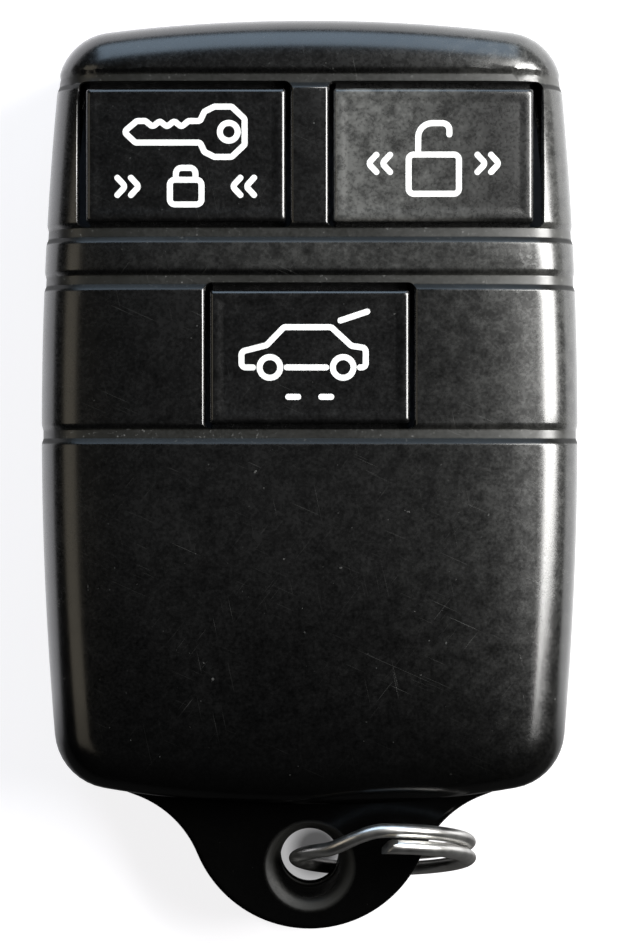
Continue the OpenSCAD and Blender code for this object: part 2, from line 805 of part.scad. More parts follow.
module split_ring() {
  points = [
    for (i = [0:ring_steps]) for (k = [0:wire_sides - 1])
    let (a = wire_angle(i), s = section(k))
    ring_point(a, ring_mean_r + s[0], wire_along(a) + s[1])
  ];
  walls = [
    for (i = [0:ring_steps - 1]) for (k = [0:wire_sides - 1])
    let (n = (k + 1) % wire_sides, a = i * wire_sides, b = a + wire_sides)
    each [[a + k, b + k, b + n], [a + k, b + n, a + n]]
  ];
  last = ring_steps * wire_sides;
  near_end = [for (k = [1:wire_sides - 2]) [0, k, k + 1]];
  far_end = [for (k = [1:wire_sides - 2]) [last, last + k + 1, last + k]];
  color(steel)
    polyhedron(points, concat(walls, near_end, far_end));
}

module lock_keycap() { color(plastic) keycap(KEY_PLACES[0]); }
module unlock_keycap() { color(plastic) keycap(KEY_PLACES[1]); }
module hatch_keycap() { color(plastic) keycap(KEY_PLACES[2]); }
module lock_pill() { color([0.1, 0.1, 0.1]) pill(KEY_PLACES[0]); }
module unlock_pill() { color([0.1, 0.1, 0.1]) pill(KEY_PLACES[1]); }
module hatch_pill() { color([0.1, 0.1, 0.1]) pill(KEY_PLACES[2]); }
module lock_dome() { color(rubber) dome(KEY_PLACES[0]); }
module unlock_dome() { color(rubber) dome(KEY_PLACES[1]); }
module hatch_dome() { color(rubber) dome(KEY_PLACES[2]); }
module lower_cell_can() { cell_can(lower_cell_z); }
module lower_cell_seal() { cell_seal(lower_cell_z); }
module lower_cell_cap() { cell_cap(lower_cell_z); }
module upper_cell_can() { cell_can(upper_cell_z); }
module upper_cell_seal() { cell_seal(upper_cell_z); }
module upper_cell_cap() { cell_cap(upper_cell_z); }

front_shell();
rear_cover();
lock_keycap();
unlock_keycap();
hatch_keycap();
lock_pill();
unlock_pill();
hatch_pill();
lock_dome();
unlock_dome();
hatch_dome();
keypad_membrane();
circuit_board();
contact_pads();
antenna_loop();
encoder_chip();
chip_leads();
saw_resonator();
ceramic_resonator();
transistor();
chip_resistors();
chip_capacitors();
battery_clip_positive();
battery_contact_negative();
lower_cell_can();
lower_cell_seal();
lower_cell_cap();
upper_cell_can();
upper_cell_seal();
upper_cell_cap();
split_ring();
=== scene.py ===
# %% [markdown]
# A keyless-entry fob, modelled in cells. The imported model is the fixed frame: it says where each piece
# is, how large it is and what it moves with. The shells, the keys and the ring are modelled again here
# with soft edges. The pieces inside stay as they are and get a finish each. Everything is in metres,
# with the front face up and the top end towards +Y.

# %% Load the frame
import math

import bpy
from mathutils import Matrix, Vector


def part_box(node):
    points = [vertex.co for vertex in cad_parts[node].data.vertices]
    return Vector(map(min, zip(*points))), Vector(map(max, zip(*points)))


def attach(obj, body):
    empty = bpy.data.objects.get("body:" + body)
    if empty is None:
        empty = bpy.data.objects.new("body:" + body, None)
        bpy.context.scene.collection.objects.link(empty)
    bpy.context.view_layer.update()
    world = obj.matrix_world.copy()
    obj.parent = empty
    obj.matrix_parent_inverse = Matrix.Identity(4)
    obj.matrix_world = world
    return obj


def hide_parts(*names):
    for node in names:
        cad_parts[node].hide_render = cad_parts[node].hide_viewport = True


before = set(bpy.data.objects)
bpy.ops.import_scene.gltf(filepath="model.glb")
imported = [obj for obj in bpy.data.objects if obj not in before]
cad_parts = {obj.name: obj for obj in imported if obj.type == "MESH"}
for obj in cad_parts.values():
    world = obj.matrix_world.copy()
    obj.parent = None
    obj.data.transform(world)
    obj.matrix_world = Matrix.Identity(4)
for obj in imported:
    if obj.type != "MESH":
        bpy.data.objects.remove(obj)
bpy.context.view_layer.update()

MM = 0.001

# %% [markdown]
# Three habits make modelling by script as safe as modelling by hand. Nothing is selected before a new
# piece is added, because an operator acts on all that is selected. Points, edges and faces are picked by
# where they lie. Two meshes are added or cut with an exact Boolean that is applied at once. Two places
# that are nearer than a hair count as one.

# %% Select, pick and combine
HAIR = 0.001 * MM


def select_nothing():
    """Leaves edit mode and clears the selection."""
    if bpy.context.object and bpy.context.object.mode != "OBJECT":
        bpy.ops.object.mode_set(mode="OBJECT")
    bpy.ops.object.select_all(action="DESELECT")


def work_on(piece):
    """Makes one piece the only selected one, in object mode."""
    select_nothing()
    piece.select_set(True)
    bpy.context.view_layer.objects.active = piece


def pick(piece, kind, test, upright=False):
    """Enters edit mode with the points, edges or faces selected whose place passes the test."""
    work_on(piece)
    mesh = piece.data
    for group in (mesh.vertices, mesh.edges, mesh.polygons):
        group.foreach_set("select", [False] * len(group))
    points = [v.co for v in mesh.vertices]
    if kind == "POINTS":
        chosen = [v for v in mesh.vertices if test(v.co)]
    elif kind == "EDGES":
        chosen = [e for e in mesh.edges if all(test(points[i]) for i in e.vertices)]
    else:
        chosen = [f for f in mesh.polygons if test(f.center, f.normal)]
    if upright:
        ends = [[points[i] for i in e.vertices] for e in chosen]
        chosen = [e for e, (a, b) in zip(chosen, ends) if (a - b).xy.length < HAIR]
    for item in chosen:
        item.select = True
    bpy.context.tool_settings.mesh_select_mode = (kind == "POINTS", kind == "EDGES", kind == "FACES")
    bpy.ops.object.mode_set(mode="EDIT")
    return len(chosen)


def pick_all(piece):
    """Enters edit mode with everything selected."""
    work_on(piece)
    bpy.ops.object.mode_set(mode="EDIT")
    bpy.ops.mesh.select_all(action="SELECT")


def settle(name):
    """Names the new piece, and puts its place, turn and size into its mesh."""
    piece = bpy.context.object
    piece.name = name
    bpy.ops.object.transform_apply(location=True, rotation=True, scale=True)
    return piece


def bevel(offset, segments, profile=0.5):
    """Rounds the selected edges; a profile above one half makes a fuller shoulder."""
    bpy.ops.mesh.bevel(
        offset=offset, segments=segments, profile=profile, affect="EDGES", clamp_overlap=False)


def extrude(x, y, z):
    """Extrudes what is selected by one step."""
    bpy.ops.mesh.extrude_region_move(TRANSFORM_OT_translate={"value": (x, y, z)})


def slice_at(place, normal):
    """Cuts new edges into the whole mesh along one plane."""
    bpy.ops.mesh.select_all(action="SELECT")
    bpy.ops.mesh.bisect(plane_co=place, plane_no=normal)


def face_outwards(piece):
    """Turns every face of a closed mesh outwards."""
    pick_all(piece)
    bpy.ops.mesh.normals_make_consistent(inside=False)
    bpy.ops.object.mode_set(mode="OBJECT")


def apply_modifier(piece, kind, **settings):
    """Adds one modifier and applies it."""
    work_on(piece)
    modifier = piece.modifiers.new(kind.lower(), kind)
    for name, value in settings.items():
        setattr(modifier, name, value)
    bpy.ops.object.modifier_apply(modifier=modifier.name)


def combine(piece, operation, *tools):
    """Adds each tool to the piece or cuts it away, and throws the tool away."""
    for tool in tools:
        select_nothing()
        apply_modifier(piece, "BOOLEAN", operation=operation, object=tool, solver="EXACT")
        bpy.data.objects.remove(tool)


print("helpers ready")

# %% [markdown]
# Most outlines here are straight lines and arcs, so a small pen draws them in edit mode. It starts as a
# plane merged to one point. A line is an extruded point, and an arc is that point spun about a centre.
# Without a window a spin turns the other way round, so the pen turns its angle over.

# %% A pen for outlines
class Pen:
    """Draws one outline at a height, stretch by stretch."""

    def __init__(self, name, x, y, z):
        select_nothing()
        bpy.ops.mesh.primitive_plane_add(size=MM, location=(x, y, z))
        self.piece = settle(name)
        self.at = Vector((x, y, z))
        bpy.ops.object.mode_set(mode="EDIT")
        bpy.context.tool_settings.mesh_select_mode = (True, False, False)
        bpy.ops.mesh.select_all(action="SELECT")
        bpy.ops.mesh.merge(type="CENTER")

    def line(self, x, y):
        """Draws a straight stretch to a place."""
        step = Vector((x, y, self.at.z)) - self.at
        bpy.ops.mesh.extrude_vertices_move(TRANSFORM_OT_translate={"value": step})
        self.at += step

    def arc(self, centre, angle, steps):
        """Draws a round stretch about a centre, anticlockwise where the angle is positive."""
        middle = Vector((centre[0], centre[1], self.at.z))
        bpy.ops.mesh.spin(steps=steps, angle=-angle, center=middle, axis=(0, 0, 1))
        arm = self.at - middle
        turn = Vector((math.cos(angle), math.sin(angle)))
        self.at = middle + Vector((arm.x * turn.x - arm.y * turn.y, arm.x * turn.y + arm.y * turn.x, 0))

    def solid(self, height):
        """Fills the outline and raises it, or lowers it, to a closed solid."""
        bpy.ops.mesh.select_all(action="SELECT")
        bpy.ops.mesh.remove_doubles(threshold=HAIR)
        bpy.ops.mesh.edge_face_add()
        extrude(0, 0, height)
        face_outwards(self.piece)
        return self.piece


def block(name, low, high):
    """A box between two corners, for ribs, slots and other square tools."""
    select_nothing()
    bpy.ops.mesh.primitive_cube_add(size=1, location=[(a + b) / 2 for a, b in zip(low, high)])
    bpy.context.object.scale = [b - a for a, b in zip(low, high)]
    return settle(name)


print("pen ready")

# %% [markdown]
# Seen from the front, the case has two bowed sides, an arched top, four round corners and a lower end
# that bulges a little towards the lug. Every stretch is an arc, so the outline needs only the arcs'
# centres. They come from a few sizes and from the frame's own box, and neighbours are tangent because
# their centres and the joint lie in one line. The long edge round the face is a bevel with a fuller
# shoulder.

# %% Centres of the case's arcs
front_low, front_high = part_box("front_shell")
half_w, top_y, tip_y = front_high.x, front_high.y, front_low.y
parting_z, face_z = front_low.z, front_high.z

case_l = 54.8 * MM
waist_down = 28.7 * MM
side_r, arch_r, bulge_r = 250 * MM, 120 * MM, 90 * MM
top_corner_r, low_corner_r = 4 * MM, 4.2 * MM
low_y = top_y - case_l
waist_y = top_y - waist_down
bulge = 0.55 * MM


def meet(a, r1, b, r2, turn):
    """The point at r1 from a and r2 from b, on the side that turn picks."""
    d = b - a
    along = (d.length_squared + r1 * r1 - r2 * r2) / (2 * d.length)
    across = math.sqrt(r1 * r1 - along * along)
    return a + (d * along + turn * across * Vector((-d.y, d.x))) / d.length


def angle_of(v):
    return math.atan2(v.y, v.x)


side_c = Vector((half_w - side_r, waist_y))
arch_c = Vector((0, top_y - arch_r))
top_corner = meet(side_c, side_r - top_corner_r, arch_c, arch_r - top_corner_r, 1)
bulge_c = Vector((0, low_y - bulge + bulge_r))
low_corner = meet(side_c, side_r - low_corner_r, bulge_c, bulge_r - low_corner_r, -1)
bulge_angle = angle_of(low_corner - bulge_c)
low_angle = angle_of(low_corner - side_c)
top_angle = angle_of(top_corner - side_c)
arch_angle = angle_of(top_corner - arch_c)
print("corners in mm:", [round(v / MM, 2) for v in (*top_corner, *low_corner)])


# %% The case's outline, inset by any amount
def mirrored(point):
    return Vector((-point.x, point.y))


corner_steps, side_steps, arch_steps, bulge_steps = 9, 30, 18, 24


def draw_case(name, inset, z0, z1):
    """A solid with the case's outline, inset all round, from z0 to z1."""
    start = bulge_c + (bulge_r - inset) * Vector((math.cos(bulge_angle), math.sin(bulge_angle)))
    pen = Pen(name, *start, z0)
    pen.arc(low_corner, low_angle - bulge_angle, corner_steps)
    pen.arc(side_c, top_angle - low_angle, side_steps)
    pen.arc(top_corner, arch_angle - top_angle, corner_steps)
    pen.arc(arch_c, math.pi - 2 * arch_angle, arch_steps)
    pen.arc(mirrored(top_corner), arch_angle - top_angle, corner_steps)
    pen.arc(mirrored(side_c), top_angle - low_angle, side_steps)
    pen.arc(mirrored(low_corner), low_angle - bulge_angle, corner_steps)
    pen.arc(bulge_c, math.pi + 2 * bulge_angle, bulge_steps)
    return pen.solid(z1 - z0)


def side_x(y):
    """Half the case's width at a place along it."""
    return side_c.x + math.sqrt(side_r ** 2 - (y - waist_y) ** 2)


def at_height(z):
    """A test for points that lie at one height."""
    return lambda p: abs(p.z - z) < 2 * HAIR


print("case's width at the waist in mm:", round(2 * side_x(waist_y) / MM, 2))

# %% The shell's first form
front_edge_r, edge_profile, edge_steps = 3.1 * MM, 0.54, 14
rim_chamfer, crowded = 0.14 * MM, 0.12 * MM

shell = draw_case("front_shell_skin", 0, parting_z, face_z)
pick(shell, "EDGES", at_height(face_z))
bevel(front_edge_r, edge_steps, edge_profile)
pick(shell, "POINTS", at_height(face_z))
bpy.ops.mesh.remove_doubles(threshold=crowded)
print("shell's first form:", len(shell.data.polygons), "faces")

# %% [markdown]
# The face isn't quite flat. Towards both sides it falls away a little before the rounded edge begins,
# and this crown is what gives the long soft glow beside the bright edge. A few cuts lengthwise give the
# face points there. Each point gets a weight that says how far it falls, and a Displace modifier lowers
# them all.

# %% Crown the face
crown_from, crown_span, crown_slope = 9.5 * MM, 5.5 * MM, 0.14


def crown(x):
    """How far the face has fallen at a distance from the middle line."""
    out = max(0, abs(x) - crown_from)
    share = min(1, out / crown_span)
    return crown_slope * (crown_span * share ** 3 / 3 + max(0, out - crown_span))


crown_cuts = 12
for i in range(1, crown_cuts + 1):
    for side in (-1, 1):
        x = side * (crown_from + i * crown_span / crown_cuts)
        slice_at((x, 0, 0), (1, 0, 0))
bpy.ops.object.mode_set(mode="OBJECT")


def lower_points(piece, above, fall):
    """Lowers the points above a height, each by what fall says of its place."""
    deepest = 2 * MM
    group = piece.vertex_groups.new(name="fall")
    for v in piece.data.vertices:
        if v.co.z > above:
            group.add([v.index], fall(v.co) / deepest, "REPLACE")
    apply_modifier(piece, "DISPLACE", strength=-deepest, mid_level=0, direction="Z", vertex_group="fall")
    piece.vertex_groups.clear()


lower_points(shell, face_z - 1.01 * front_edge_r, lambda p: crown(p.x))
print("crown in mm:", round(crown(half_w) / MM, 2))

# %% [markdown]
# Four shallow grooves cross the face and run down both sides, as the mould made them. A cut with a
# straight cutter would leave them flat at the rounded edge, so they are pressed into the skin instead:
# four cuts across the mesh mark the walls of each groove, points between them get a weight, and a
# Displace modifier moves them inwards along the skin's own normal. They are shallower on the sides than
# on the face. The lower face is open meanwhile, so that it doesn't tilt the normals at the rim.

# %% Press in the grooves
groove_1 = top_y - 4.4 * MM
key_band, ridge_band = 10.75 * MM, 3.3 * MM
groove_2 = groove_1 - key_band
groove_3 = groove_2 - ridge_band
groove_4 = groove_3 - key_band
grooves = (groove_1, groove_2, groove_3, groove_4)
groove_top, groove_floor, groove_d = 0.66 * MM, 0.31 * MM, 0.28 * MM
groove_lip_r = 0.14 * MM
side_share, shoulder = 0.45, 1 * MM

pick(shell, "FACES", lambda c, n: n.z < -0.9)
bpy.ops.mesh.delete(type="ONLY_FACE")
for y in grooves:
    for offset in (-groove_top, -groove_floor, groove_floor, groove_top):
        slice_at((0, y + offset, 0), (0, 1, 0))
bpy.ops.object.mode_set(mode="OBJECT")

groove_group = shell.vertex_groups.new(name="groove")
for v in shell.data.vertices:
    off = min(abs(v.co.y - y) for y in grooves)
    weight = min(1.0, (groove_top - off) / (groove_top - groove_floor))
    rise = max(0, v.co.z - face_z + front_edge_r) / (front_edge_r - shoulder)
    weight *= min(1.0, side_share + (1 - side_share) * rise)
    if weight > 0.01:
        groove_group.add([v.index], weight, "REPLACE")
apply_modifier(shell, "DISPLACE", strength=-groove_d, mid_level=0, vertex_group="groove")
shell.vertex_groups.clear()


def on_groove_lip(p):
    return any(abs(abs(p.y - y) - groove_top) < 4 * HAIR for y in grooves)


pick(shell, "EDGES", on_groove_lip)
bevel(groove_lip_r, 3)
pick(shell, "EDGES", at_height(parting_z))
bpy.ops.mesh.edge_face_add()
face_outwards(shell)
pick(shell, "EDGES", at_height(parting_z))
bevel(rim_chamfer, 1)
bpy.ops.object.mode_set(mode="OBJECT")
print("shell with grooves:", len(shell.data.polygons), "faces")

# %% [markdown]
# The lug that carries the key ring is drawn with the same pen: a round tip, a hollow arc on each side,
# and a short straight stretch that touches both this arc and the case's lower corner. The stretch sinks
# a little into the case's wall, and the two halves leave a fine seam at the parting, so that no two
# faces lie in one plane when they are joined. Its centre stands where the frame's lug has it. The hole's
# tool is a circle that is extruded in steps, and at each step it is narrowed and moved a little, like a
# leaning horn: the ring has worn the mouth of the hole towards the tip.

# %% The lug's outline
lug_low, lug_top = 2.5 * MM, 7.5 * MM
lug_r, blend_r, lug_edge_r = 8.72 * MM, 7.5 * MM, 0.4 * MM
lug_in, root_in = 8.85 * MM, 1 * MM
sink, seam = 0.04 * MM, 0.01 * MM
root_y = low_y + root_in
neck_steps, tip_steps = 16, 44
neck_angle = math.radians(-22.5)


def towards(angle):
    return Vector((math.cos(angle), math.sin(angle)))


lug_c = Vector((0, tip_y + lug_in))
blend_c = lug_c + (lug_r + blend_r) * towards(neck_angle)
apart = blend_c - low_corner
both_r = low_corner_r - sink + blend_r
touch = angle_of(apart) + math.acos(both_r / apart.length)
neck_turn = neck_angle - touch
print("straight stretch in mm:", round(math.sqrt(apart.length ** 2 - both_r ** 2) / MM, 2))


def draw_lug(name, z0, z1):
    """One half of the lug, with its outer edge rounded and a fine chamfer at the joint."""
    start = low_corner + (low_corner_r - sink) * towards(touch)
    pen = Pen(name, low_corner.x, root_y, z0)
    pen.line(*start)
    pen.line(*(blend_c - blend_r * towards(touch)))
    pen.arc(blend_c, neck_turn, neck_steps)
    pen.arc(lug_c, -math.pi - 2 * neck_angle, tip_steps)
    pen.arc(mirrored(blend_c), neck_turn, neck_steps)
    pen.line(-start.x, start.y)
    pen.line(-low_corner.x, root_y)
    lug = pen.solid(z1 - z0)
    pick(lug, "EDGES", at_height(z1))
    bevel(lug_edge_r, 6)
    pick(lug, "EDGES", at_height(z0))
    bevel(rim_chamfer, 1)
    return lug


# %% The hole's cutting tool
hole_r, mouth_r = 2.1 * MM, 3.12 * MM
hole_y = tip_y + 4.85 * MM
mouth_y, bore_y = hole_y - 0.2 * MM, hole_y + 0.28 * MM
mouth_section = ((3.7, 0.05), (3.12, -0.01), (2.88, -0.12), (2.66, -0.31), (2.4, -0.7), (2.18, -1.05),
                 (2.1, -1.25))
lower_wear = 0.4
tool_above, tool_below = 1.5 * MM, 3 * MM


def hole_tool(name, face, up):
    """A cutter like a leaning horn, from a wide mouth to the bore.

    up is 1 for the lug's top face, and -1 for its lower one, which is worn less deep.
    """
    deep = 1 if up > 0 else lower_wear
    profile = [(r * MM, deep * z * MM) for r, z in mouth_section] + [(hole_r, -tool_below)]
    r, z, y = profile[0][0], tool_above, mouth_y
    select_nothing()
    bpy.ops.mesh.primitive_circle_add(
        vertices=72, radius=r, fill_type="NGON", location=(0, y, face + up * z))
    tool = settle(name)
    pick_all(tool)
    for to_r, to_z in profile:
        share = max(0, mouth_r - to_r) / (mouth_r - hole_r)
        to_y = mouth_y + share * (bore_y - mouth_y)
        extrude(0, to_y - y, up * (to_z - z))
        size = to_r / r
        bpy.ops.transform.resize(value=(size, size, 1), center_override=(0, to_y, face + up * to_z))
        r, z, y = to_r, to_z, to_y
    face_outwards(tool)
    return tool


print("hole's bore and mouth in mm:", round(2 * hole_r / MM, 2), round(2 * mouth_r / MM, 2))

# %% Hollow out the front shell and add its lug
wall, face_t, cavity_edge_r = 1.5 * MM, 1.6 * MM, 0.6 * MM
clean = 0.2 * MM
ceiling_z = face_z - face_t
cavity = draw_case("cavity", wall, parting_z - clean, ceiling_z)
pick(cavity, "EDGES", at_height(ceiling_z))
bevel(cavity_edge_r, 3)
combine(shell, "DIFFERENCE", cavity)
combine(shell, "UNION", draw_lug("lug_up", parting_z + seam, lug_top))
combine(shell, "DIFFERENCE", hole_tool("hole_up", lug_top, 1))
print("hollow shell with lug:", len(shell.data.polygons), "faces")

# %% [markdown]
# Each key sits in an opening with a soft rim. The keys and the openings' cutters are alike: a box with
# round corners whose top goes on in small steps, extrude a little, resize a little. Steps that narrow
# give a key its soft edge, and steps that widen give a cutter a flare like the bell of a horn.

# %% Blocks that taper
key_low, key_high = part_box("lock_keycap")
key_w = key_high.x - key_low.x
key_flange = 0.85 * MM
key_h = key_high.y - key_low.y - 2 * key_flange
key_gap, open_corner_r = 0.3 * MM, 0.4 * MM
open_w, open_h = key_w + 2 * key_gap, key_h + 2 * key_gap
rim_r = 0.3 * MM
buttons = ("lock", "unlock", "hatch")


def key_place(button):
    low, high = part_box(f"{button}_keycap")
    return (low + high) / 2


def round_block(name, place, width, height, corner_r, z0, z1):
    """A box round a key's middle with round upright edges, and its top face picked."""
    half = Vector((width / 2, height / 2))
    piece = block(name, (*(place.xy - half), z0), (*(place.xy + half), z1))
    pick(piece, "EDGES", lambda p: True, upright=True)
    bevel(corner_r, 8)
    pick(piece, "FACES", lambda c, n: n.z > 0.9)
    return piece


def taper(place, width, height, z, steps):
    """Carries the picked top face through steps of inset and height."""
    w, h = width, height
    for inset, level in steps:
        extrude(0, 0, level - z)
        to_w, to_h = width - 2 * inset, height - 2 * inset
        bpy.ops.transform.resize(value=(to_w / w, to_h / h, 1), center_override=(place.x, place.y, level))
        w, h, z = to_w, to_h, level


def quarter(r, degrees):
    """How far a rounded edge of radius r has gone in and up, at an angle along it."""
    angle = math.radians(degrees)
    return r * (1 - math.cos(angle)), r * math.sin(angle)


print("keys in mm:", round(key_w / MM, 2), round(key_h / MM, 2))

# %% [markdown]
# Where the flare leaves the face it has cut the rounded rim, so no edge has to be picked on the finished
# shell. The gap isn't even all round: each opening reaches up into the groove above its key, and the two
# upper ones out to the sides. There the face has begun to fall, so the flare sinks as far as the face
# has fallen at the opening's wall.

# %% Cut the key openings
edge_power = -2 / math.log2(edge_profile)
fall_from, fall_step = 9.7 * MM, 1.1 * MM
fall_cuts = [fall_from + i * fall_step for i in range(6)]


def face_fall(p):
    """How far the finished face lies below its middle at a place: its crown, then its rounded edge."""
    share = max(0, abs(p.x) - side_x(p.y) + front_edge_r) / front_edge_r
    return crown(p.x) + front_edge_r * (1 - (1 - share ** edge_power) ** (1 / edge_power))


def follow_face(piece, above, fall=face_fall):
    """Cuts a piece lengthwise where the face falls, and lowers its points above a height by that fall."""
    pick_all(piece)
    for x in fall_cuts:
        for side in (-1, 1):
            slice_at((side * x, 0, 0), (1, 0, 0))
    face_outwards(piece)
    lower_points(piece, above, fall)


open_high, open_low, open_through = 0.24 * MM, 0.06 * MM, 1 * MM


def opening_tool(place, left, right):
    """A cutter for one opening with a flared top, whose gap is wider to the left and the right."""
    z = face_z - rim_r
    middle = place + Vector(((right - left) / 2, (open_high - open_low) / 2, 0))
    w, h = open_w + left + right, open_h + open_high + open_low
    tool = round_block("opening", middle, w, h, open_corner_r, ceiling_z - open_through, z)
    flare = [quarter(rim_r, degrees) for degrees in (18, 36, 54, 70)]
    steps = [(-out, z + up) for out, up in flare]
    steps.append((-1.3 * rim_r, face_z + 0.15 * rim_r))
    taper(middle, w, h, z, steps)

    def fall(p):
        """The face's fall, no further out than the opening's wall."""
        aside = max(-w / 2, min(w / 2, p.x - middle.x))
        return face_fall(Vector((middle.x + aside, p.y)))

    follow_face(tool, z - HAIR, fall)
    return tool


wider = {"lock": (0.2 * MM, 0), "unlock": (0, 0.32 * MM), "hatch": (0, 0)}
for button in buttons:
    combine(shell, "DIFFERENCE", opening_tool(key_place(button), *wider[button]))
print("shell with openings:", len(shell.data.polygons), "faces")

# %% [markdown]
# Inside, thin ribs hang from the face and hold the rubber sheet down on the board. They are plain blocks
# joined to the shell. Smooth shading by angle then keeps the crisp joints and rounds the rest, and
# weighted normals keep the wide flat panels flat beside their rounded edges.

# %% Ribs and shading of the front shell
sheet_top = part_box("keypad_membrane")[1].z
rib_half, rib_in, rib_sink = 0.4 * MM, 1 * MM, 0.8 * MM
ridge_y = (groove_2 + groove_3) / 2
lower_key_y = key_place("hatch").y
row_x = (open_w / 2 + side_x(lower_key_y) - wall) / 2
ridge_reach = side_x(ridge_y) - wall - rib_in
rib_top = ceiling_z + rib_sink
ribs = [
    block("rib_middle", (-rib_half, ridge_y, sheet_top), (rib_half, groove_1, rib_top)),
    block("rib_across", (-ridge_reach, ridge_y - rib_half, sheet_top),
          (ridge_reach, ridge_y + rib_half, rib_top)),
]
for side in (-1, 1):
    x = side * row_x
    ribs.append(block("rib_side", (x - rib_half, groove_4, sheet_top), (x + rib_half, ridge_y, rib_top)))
combine(shell, "UNION", *ribs)


def finish_mesh(piece, degrees=32):
    """Tidies a modelled piece: doubles merged, smooth shading with crisp creases, weighted normals."""
    pick_all(piece)
    bpy.ops.mesh.remove_doubles(threshold=0.8 * HAIR)
    bpy.ops.mesh.dissolve_degenerate(threshold=0.8 * HAIR)
    bpy.ops.object.mode_set(mode="OBJECT")
    work_on(piece)
    bpy.ops.object.shade_smooth_by_angle(angle=math.radians(degrees))
    apply_modifier(piece, "WEIGHTED_NORMAL", keep_sharp=True, weight=80)


finish_mesh(shell)
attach(shell, "case")
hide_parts("front_shell")
print("front shell:", len(shell.data.polygons), "faces")

# %% [markdown]
# The rear cover is the same outline, taken down to the back face and rounded there. A thin lip stands up
# from its rim and snaps into the front shell with four small beads. Inside are four posts for the board
# and a round cradle for the cells, and a coin slot in the lug's tip lets the halves be prised apart.

# %% Rear cover
back_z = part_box("rear_cover")[0].z
back_t, back_edge_r = 1.4 * MM, 1.8 * MM
lip_gap, lip_t, lip_h = 0.1 * MM, 0.9 * MM, 1.8 * MM
rear_wall = wall + lip_gap + lip_t
cover = draw_case("rear_cover_skin", 0, parting_z, back_z)
pick(cover, "EDGES", at_height(back_z))
bevel(back_edge_r, 9)
pick(cover, "EDGES", at_height(parting_z))
bevel(rim_chamfer, 1)
combine(cover, "UNION", draw_case("lip", wall + lip_gap, parting_z - 2 * clean, parting_z + lip_h))
combine(cover, "UNION", draw_lug("lug_down", parting_z - seam, lug_low))
combine(cover, "DIFFERENCE", draw_case("well", rear_wall, back_z + back_t, parting_z + lip_h + clean))
combine(cover, "DIFFERENCE", hole_tool("hole_down", lug_low, -1))
print("cover's shell:", len(cover.data.polygons), "faces")


# %% Posts, cradle, beads and coin slot
rod_chamfer = 0.08 * MM


def rod(name, place, radius, length, turn=(0, 0, 0)):
    """A round bar with a fine chamfer at both ends."""
    select_nothing()
    bpy.ops.mesh.primitive_cylinder_add(
        vertices=48, radius=radius, depth=length, location=place, rotation=turn)
    piece = settle(name)
    pick(piece, "FACES", lambda c, n: (c - Vector(place)).length > 0.45 * length)
    bpy.ops.mesh.region_to_loop()
    bevel(rod_chamfer, 1)
    bpy.ops.object.mode_set(mode="OBJECT")
    return piece


board_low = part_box("circuit_board")[0].z
cell_low, cell_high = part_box("lower_cell_can")
cell_y, cell_r = (cell_low.y + cell_high.y) / 2, (cell_high.x - cell_low.x) / 2
post_r, post_in, post_end = 1.5 * MM, 6.8 * MM, 5.8 * MM
bead_r, bead_l, bead_in = 0.35 * MM, 5 * MM, 13 * MM
floor_z = back_z + back_t - clean
for side in (-1, 1):
    for y in (top_y - post_end, low_y + post_end):
        middle = (side * (side_x(y) - post_in), y, (floor_z + board_low) / 2)
        combine(cover, "UNION", rod("post", middle, post_r, board_low - floor_z))
    for y in (top_y - bead_in, low_y + bead_in):
        middle = (side * (side_x(y) - wall - lip_gap), y, parting_z + lip_h / 2)
        combine(cover, "UNION", rod("bead", middle, bead_r, bead_l, (math.pi / 2, 0, 0)))

cell_gap, notch = 0.25 * MM, 2.4 * MM
cradle_r, cradle_t, cradle_h = cell_r + cell_gap, 0.8 * MM, 3 * MM + clean
cradle_mid = (0, cell_y, floor_z + cradle_h / 2)
cradle = rod("cradle", cradle_mid, cradle_r + cradle_t, cradle_h)
combine(cradle, "DIFFERENCE", rod("cells", cradle_mid, cradle_r, 2 * cradle_h))
combine(cradle, "DIFFERENCE", block("notch", (0, cell_y - notch, 0), (half_w, cell_y + notch, face_z)))
combine(cover, "UNION", cradle)
pry_half, pry_d, pry_h = 3 * MM, 1 * MM, 0.8 * MM
slot_low = (-pry_half, tip_y - clean, parting_z - pry_h)
slot_high = (pry_half, tip_y + pry_d, parting_z + clean)
combine(cover, "DIFFERENCE", block("coin_slot", slot_low, slot_high))
finish_mesh(cover)
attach(cover, "case")
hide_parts("rear_cover")
print("rear cover:", len(cover.data.polygons), "faces")

# %% [markdown]
# The three keycaps come from one mould shape. Each is a block with round corners, a soft top edge and a
# thumb rest that is pressed in a little. A flange above and below the cap keeps it from falling out of
# the front. The first is modelled, and the other two are copies with meshes of their own. Then each is
# lowered half as far as the face beside it, so that the outer keys stand only a little proud of the
# crowned shell.

# %% Keycaps
key_corner_r, key_edge_r = 0.22 * MM, 0.32 * MM
rest_in, rest_border, rest_depth = 0.12 * MM, 0.6 * MM, 0.045 * MM
flange_low, flange_t = key_low.z, 0.8 * MM
flange_top = flange_low + flange_t
lock_at = key_place("lock")


def key_fall(p):
    """How far a key's top is lowered: half as far as the face."""
    return 0.5 * face_fall(p)


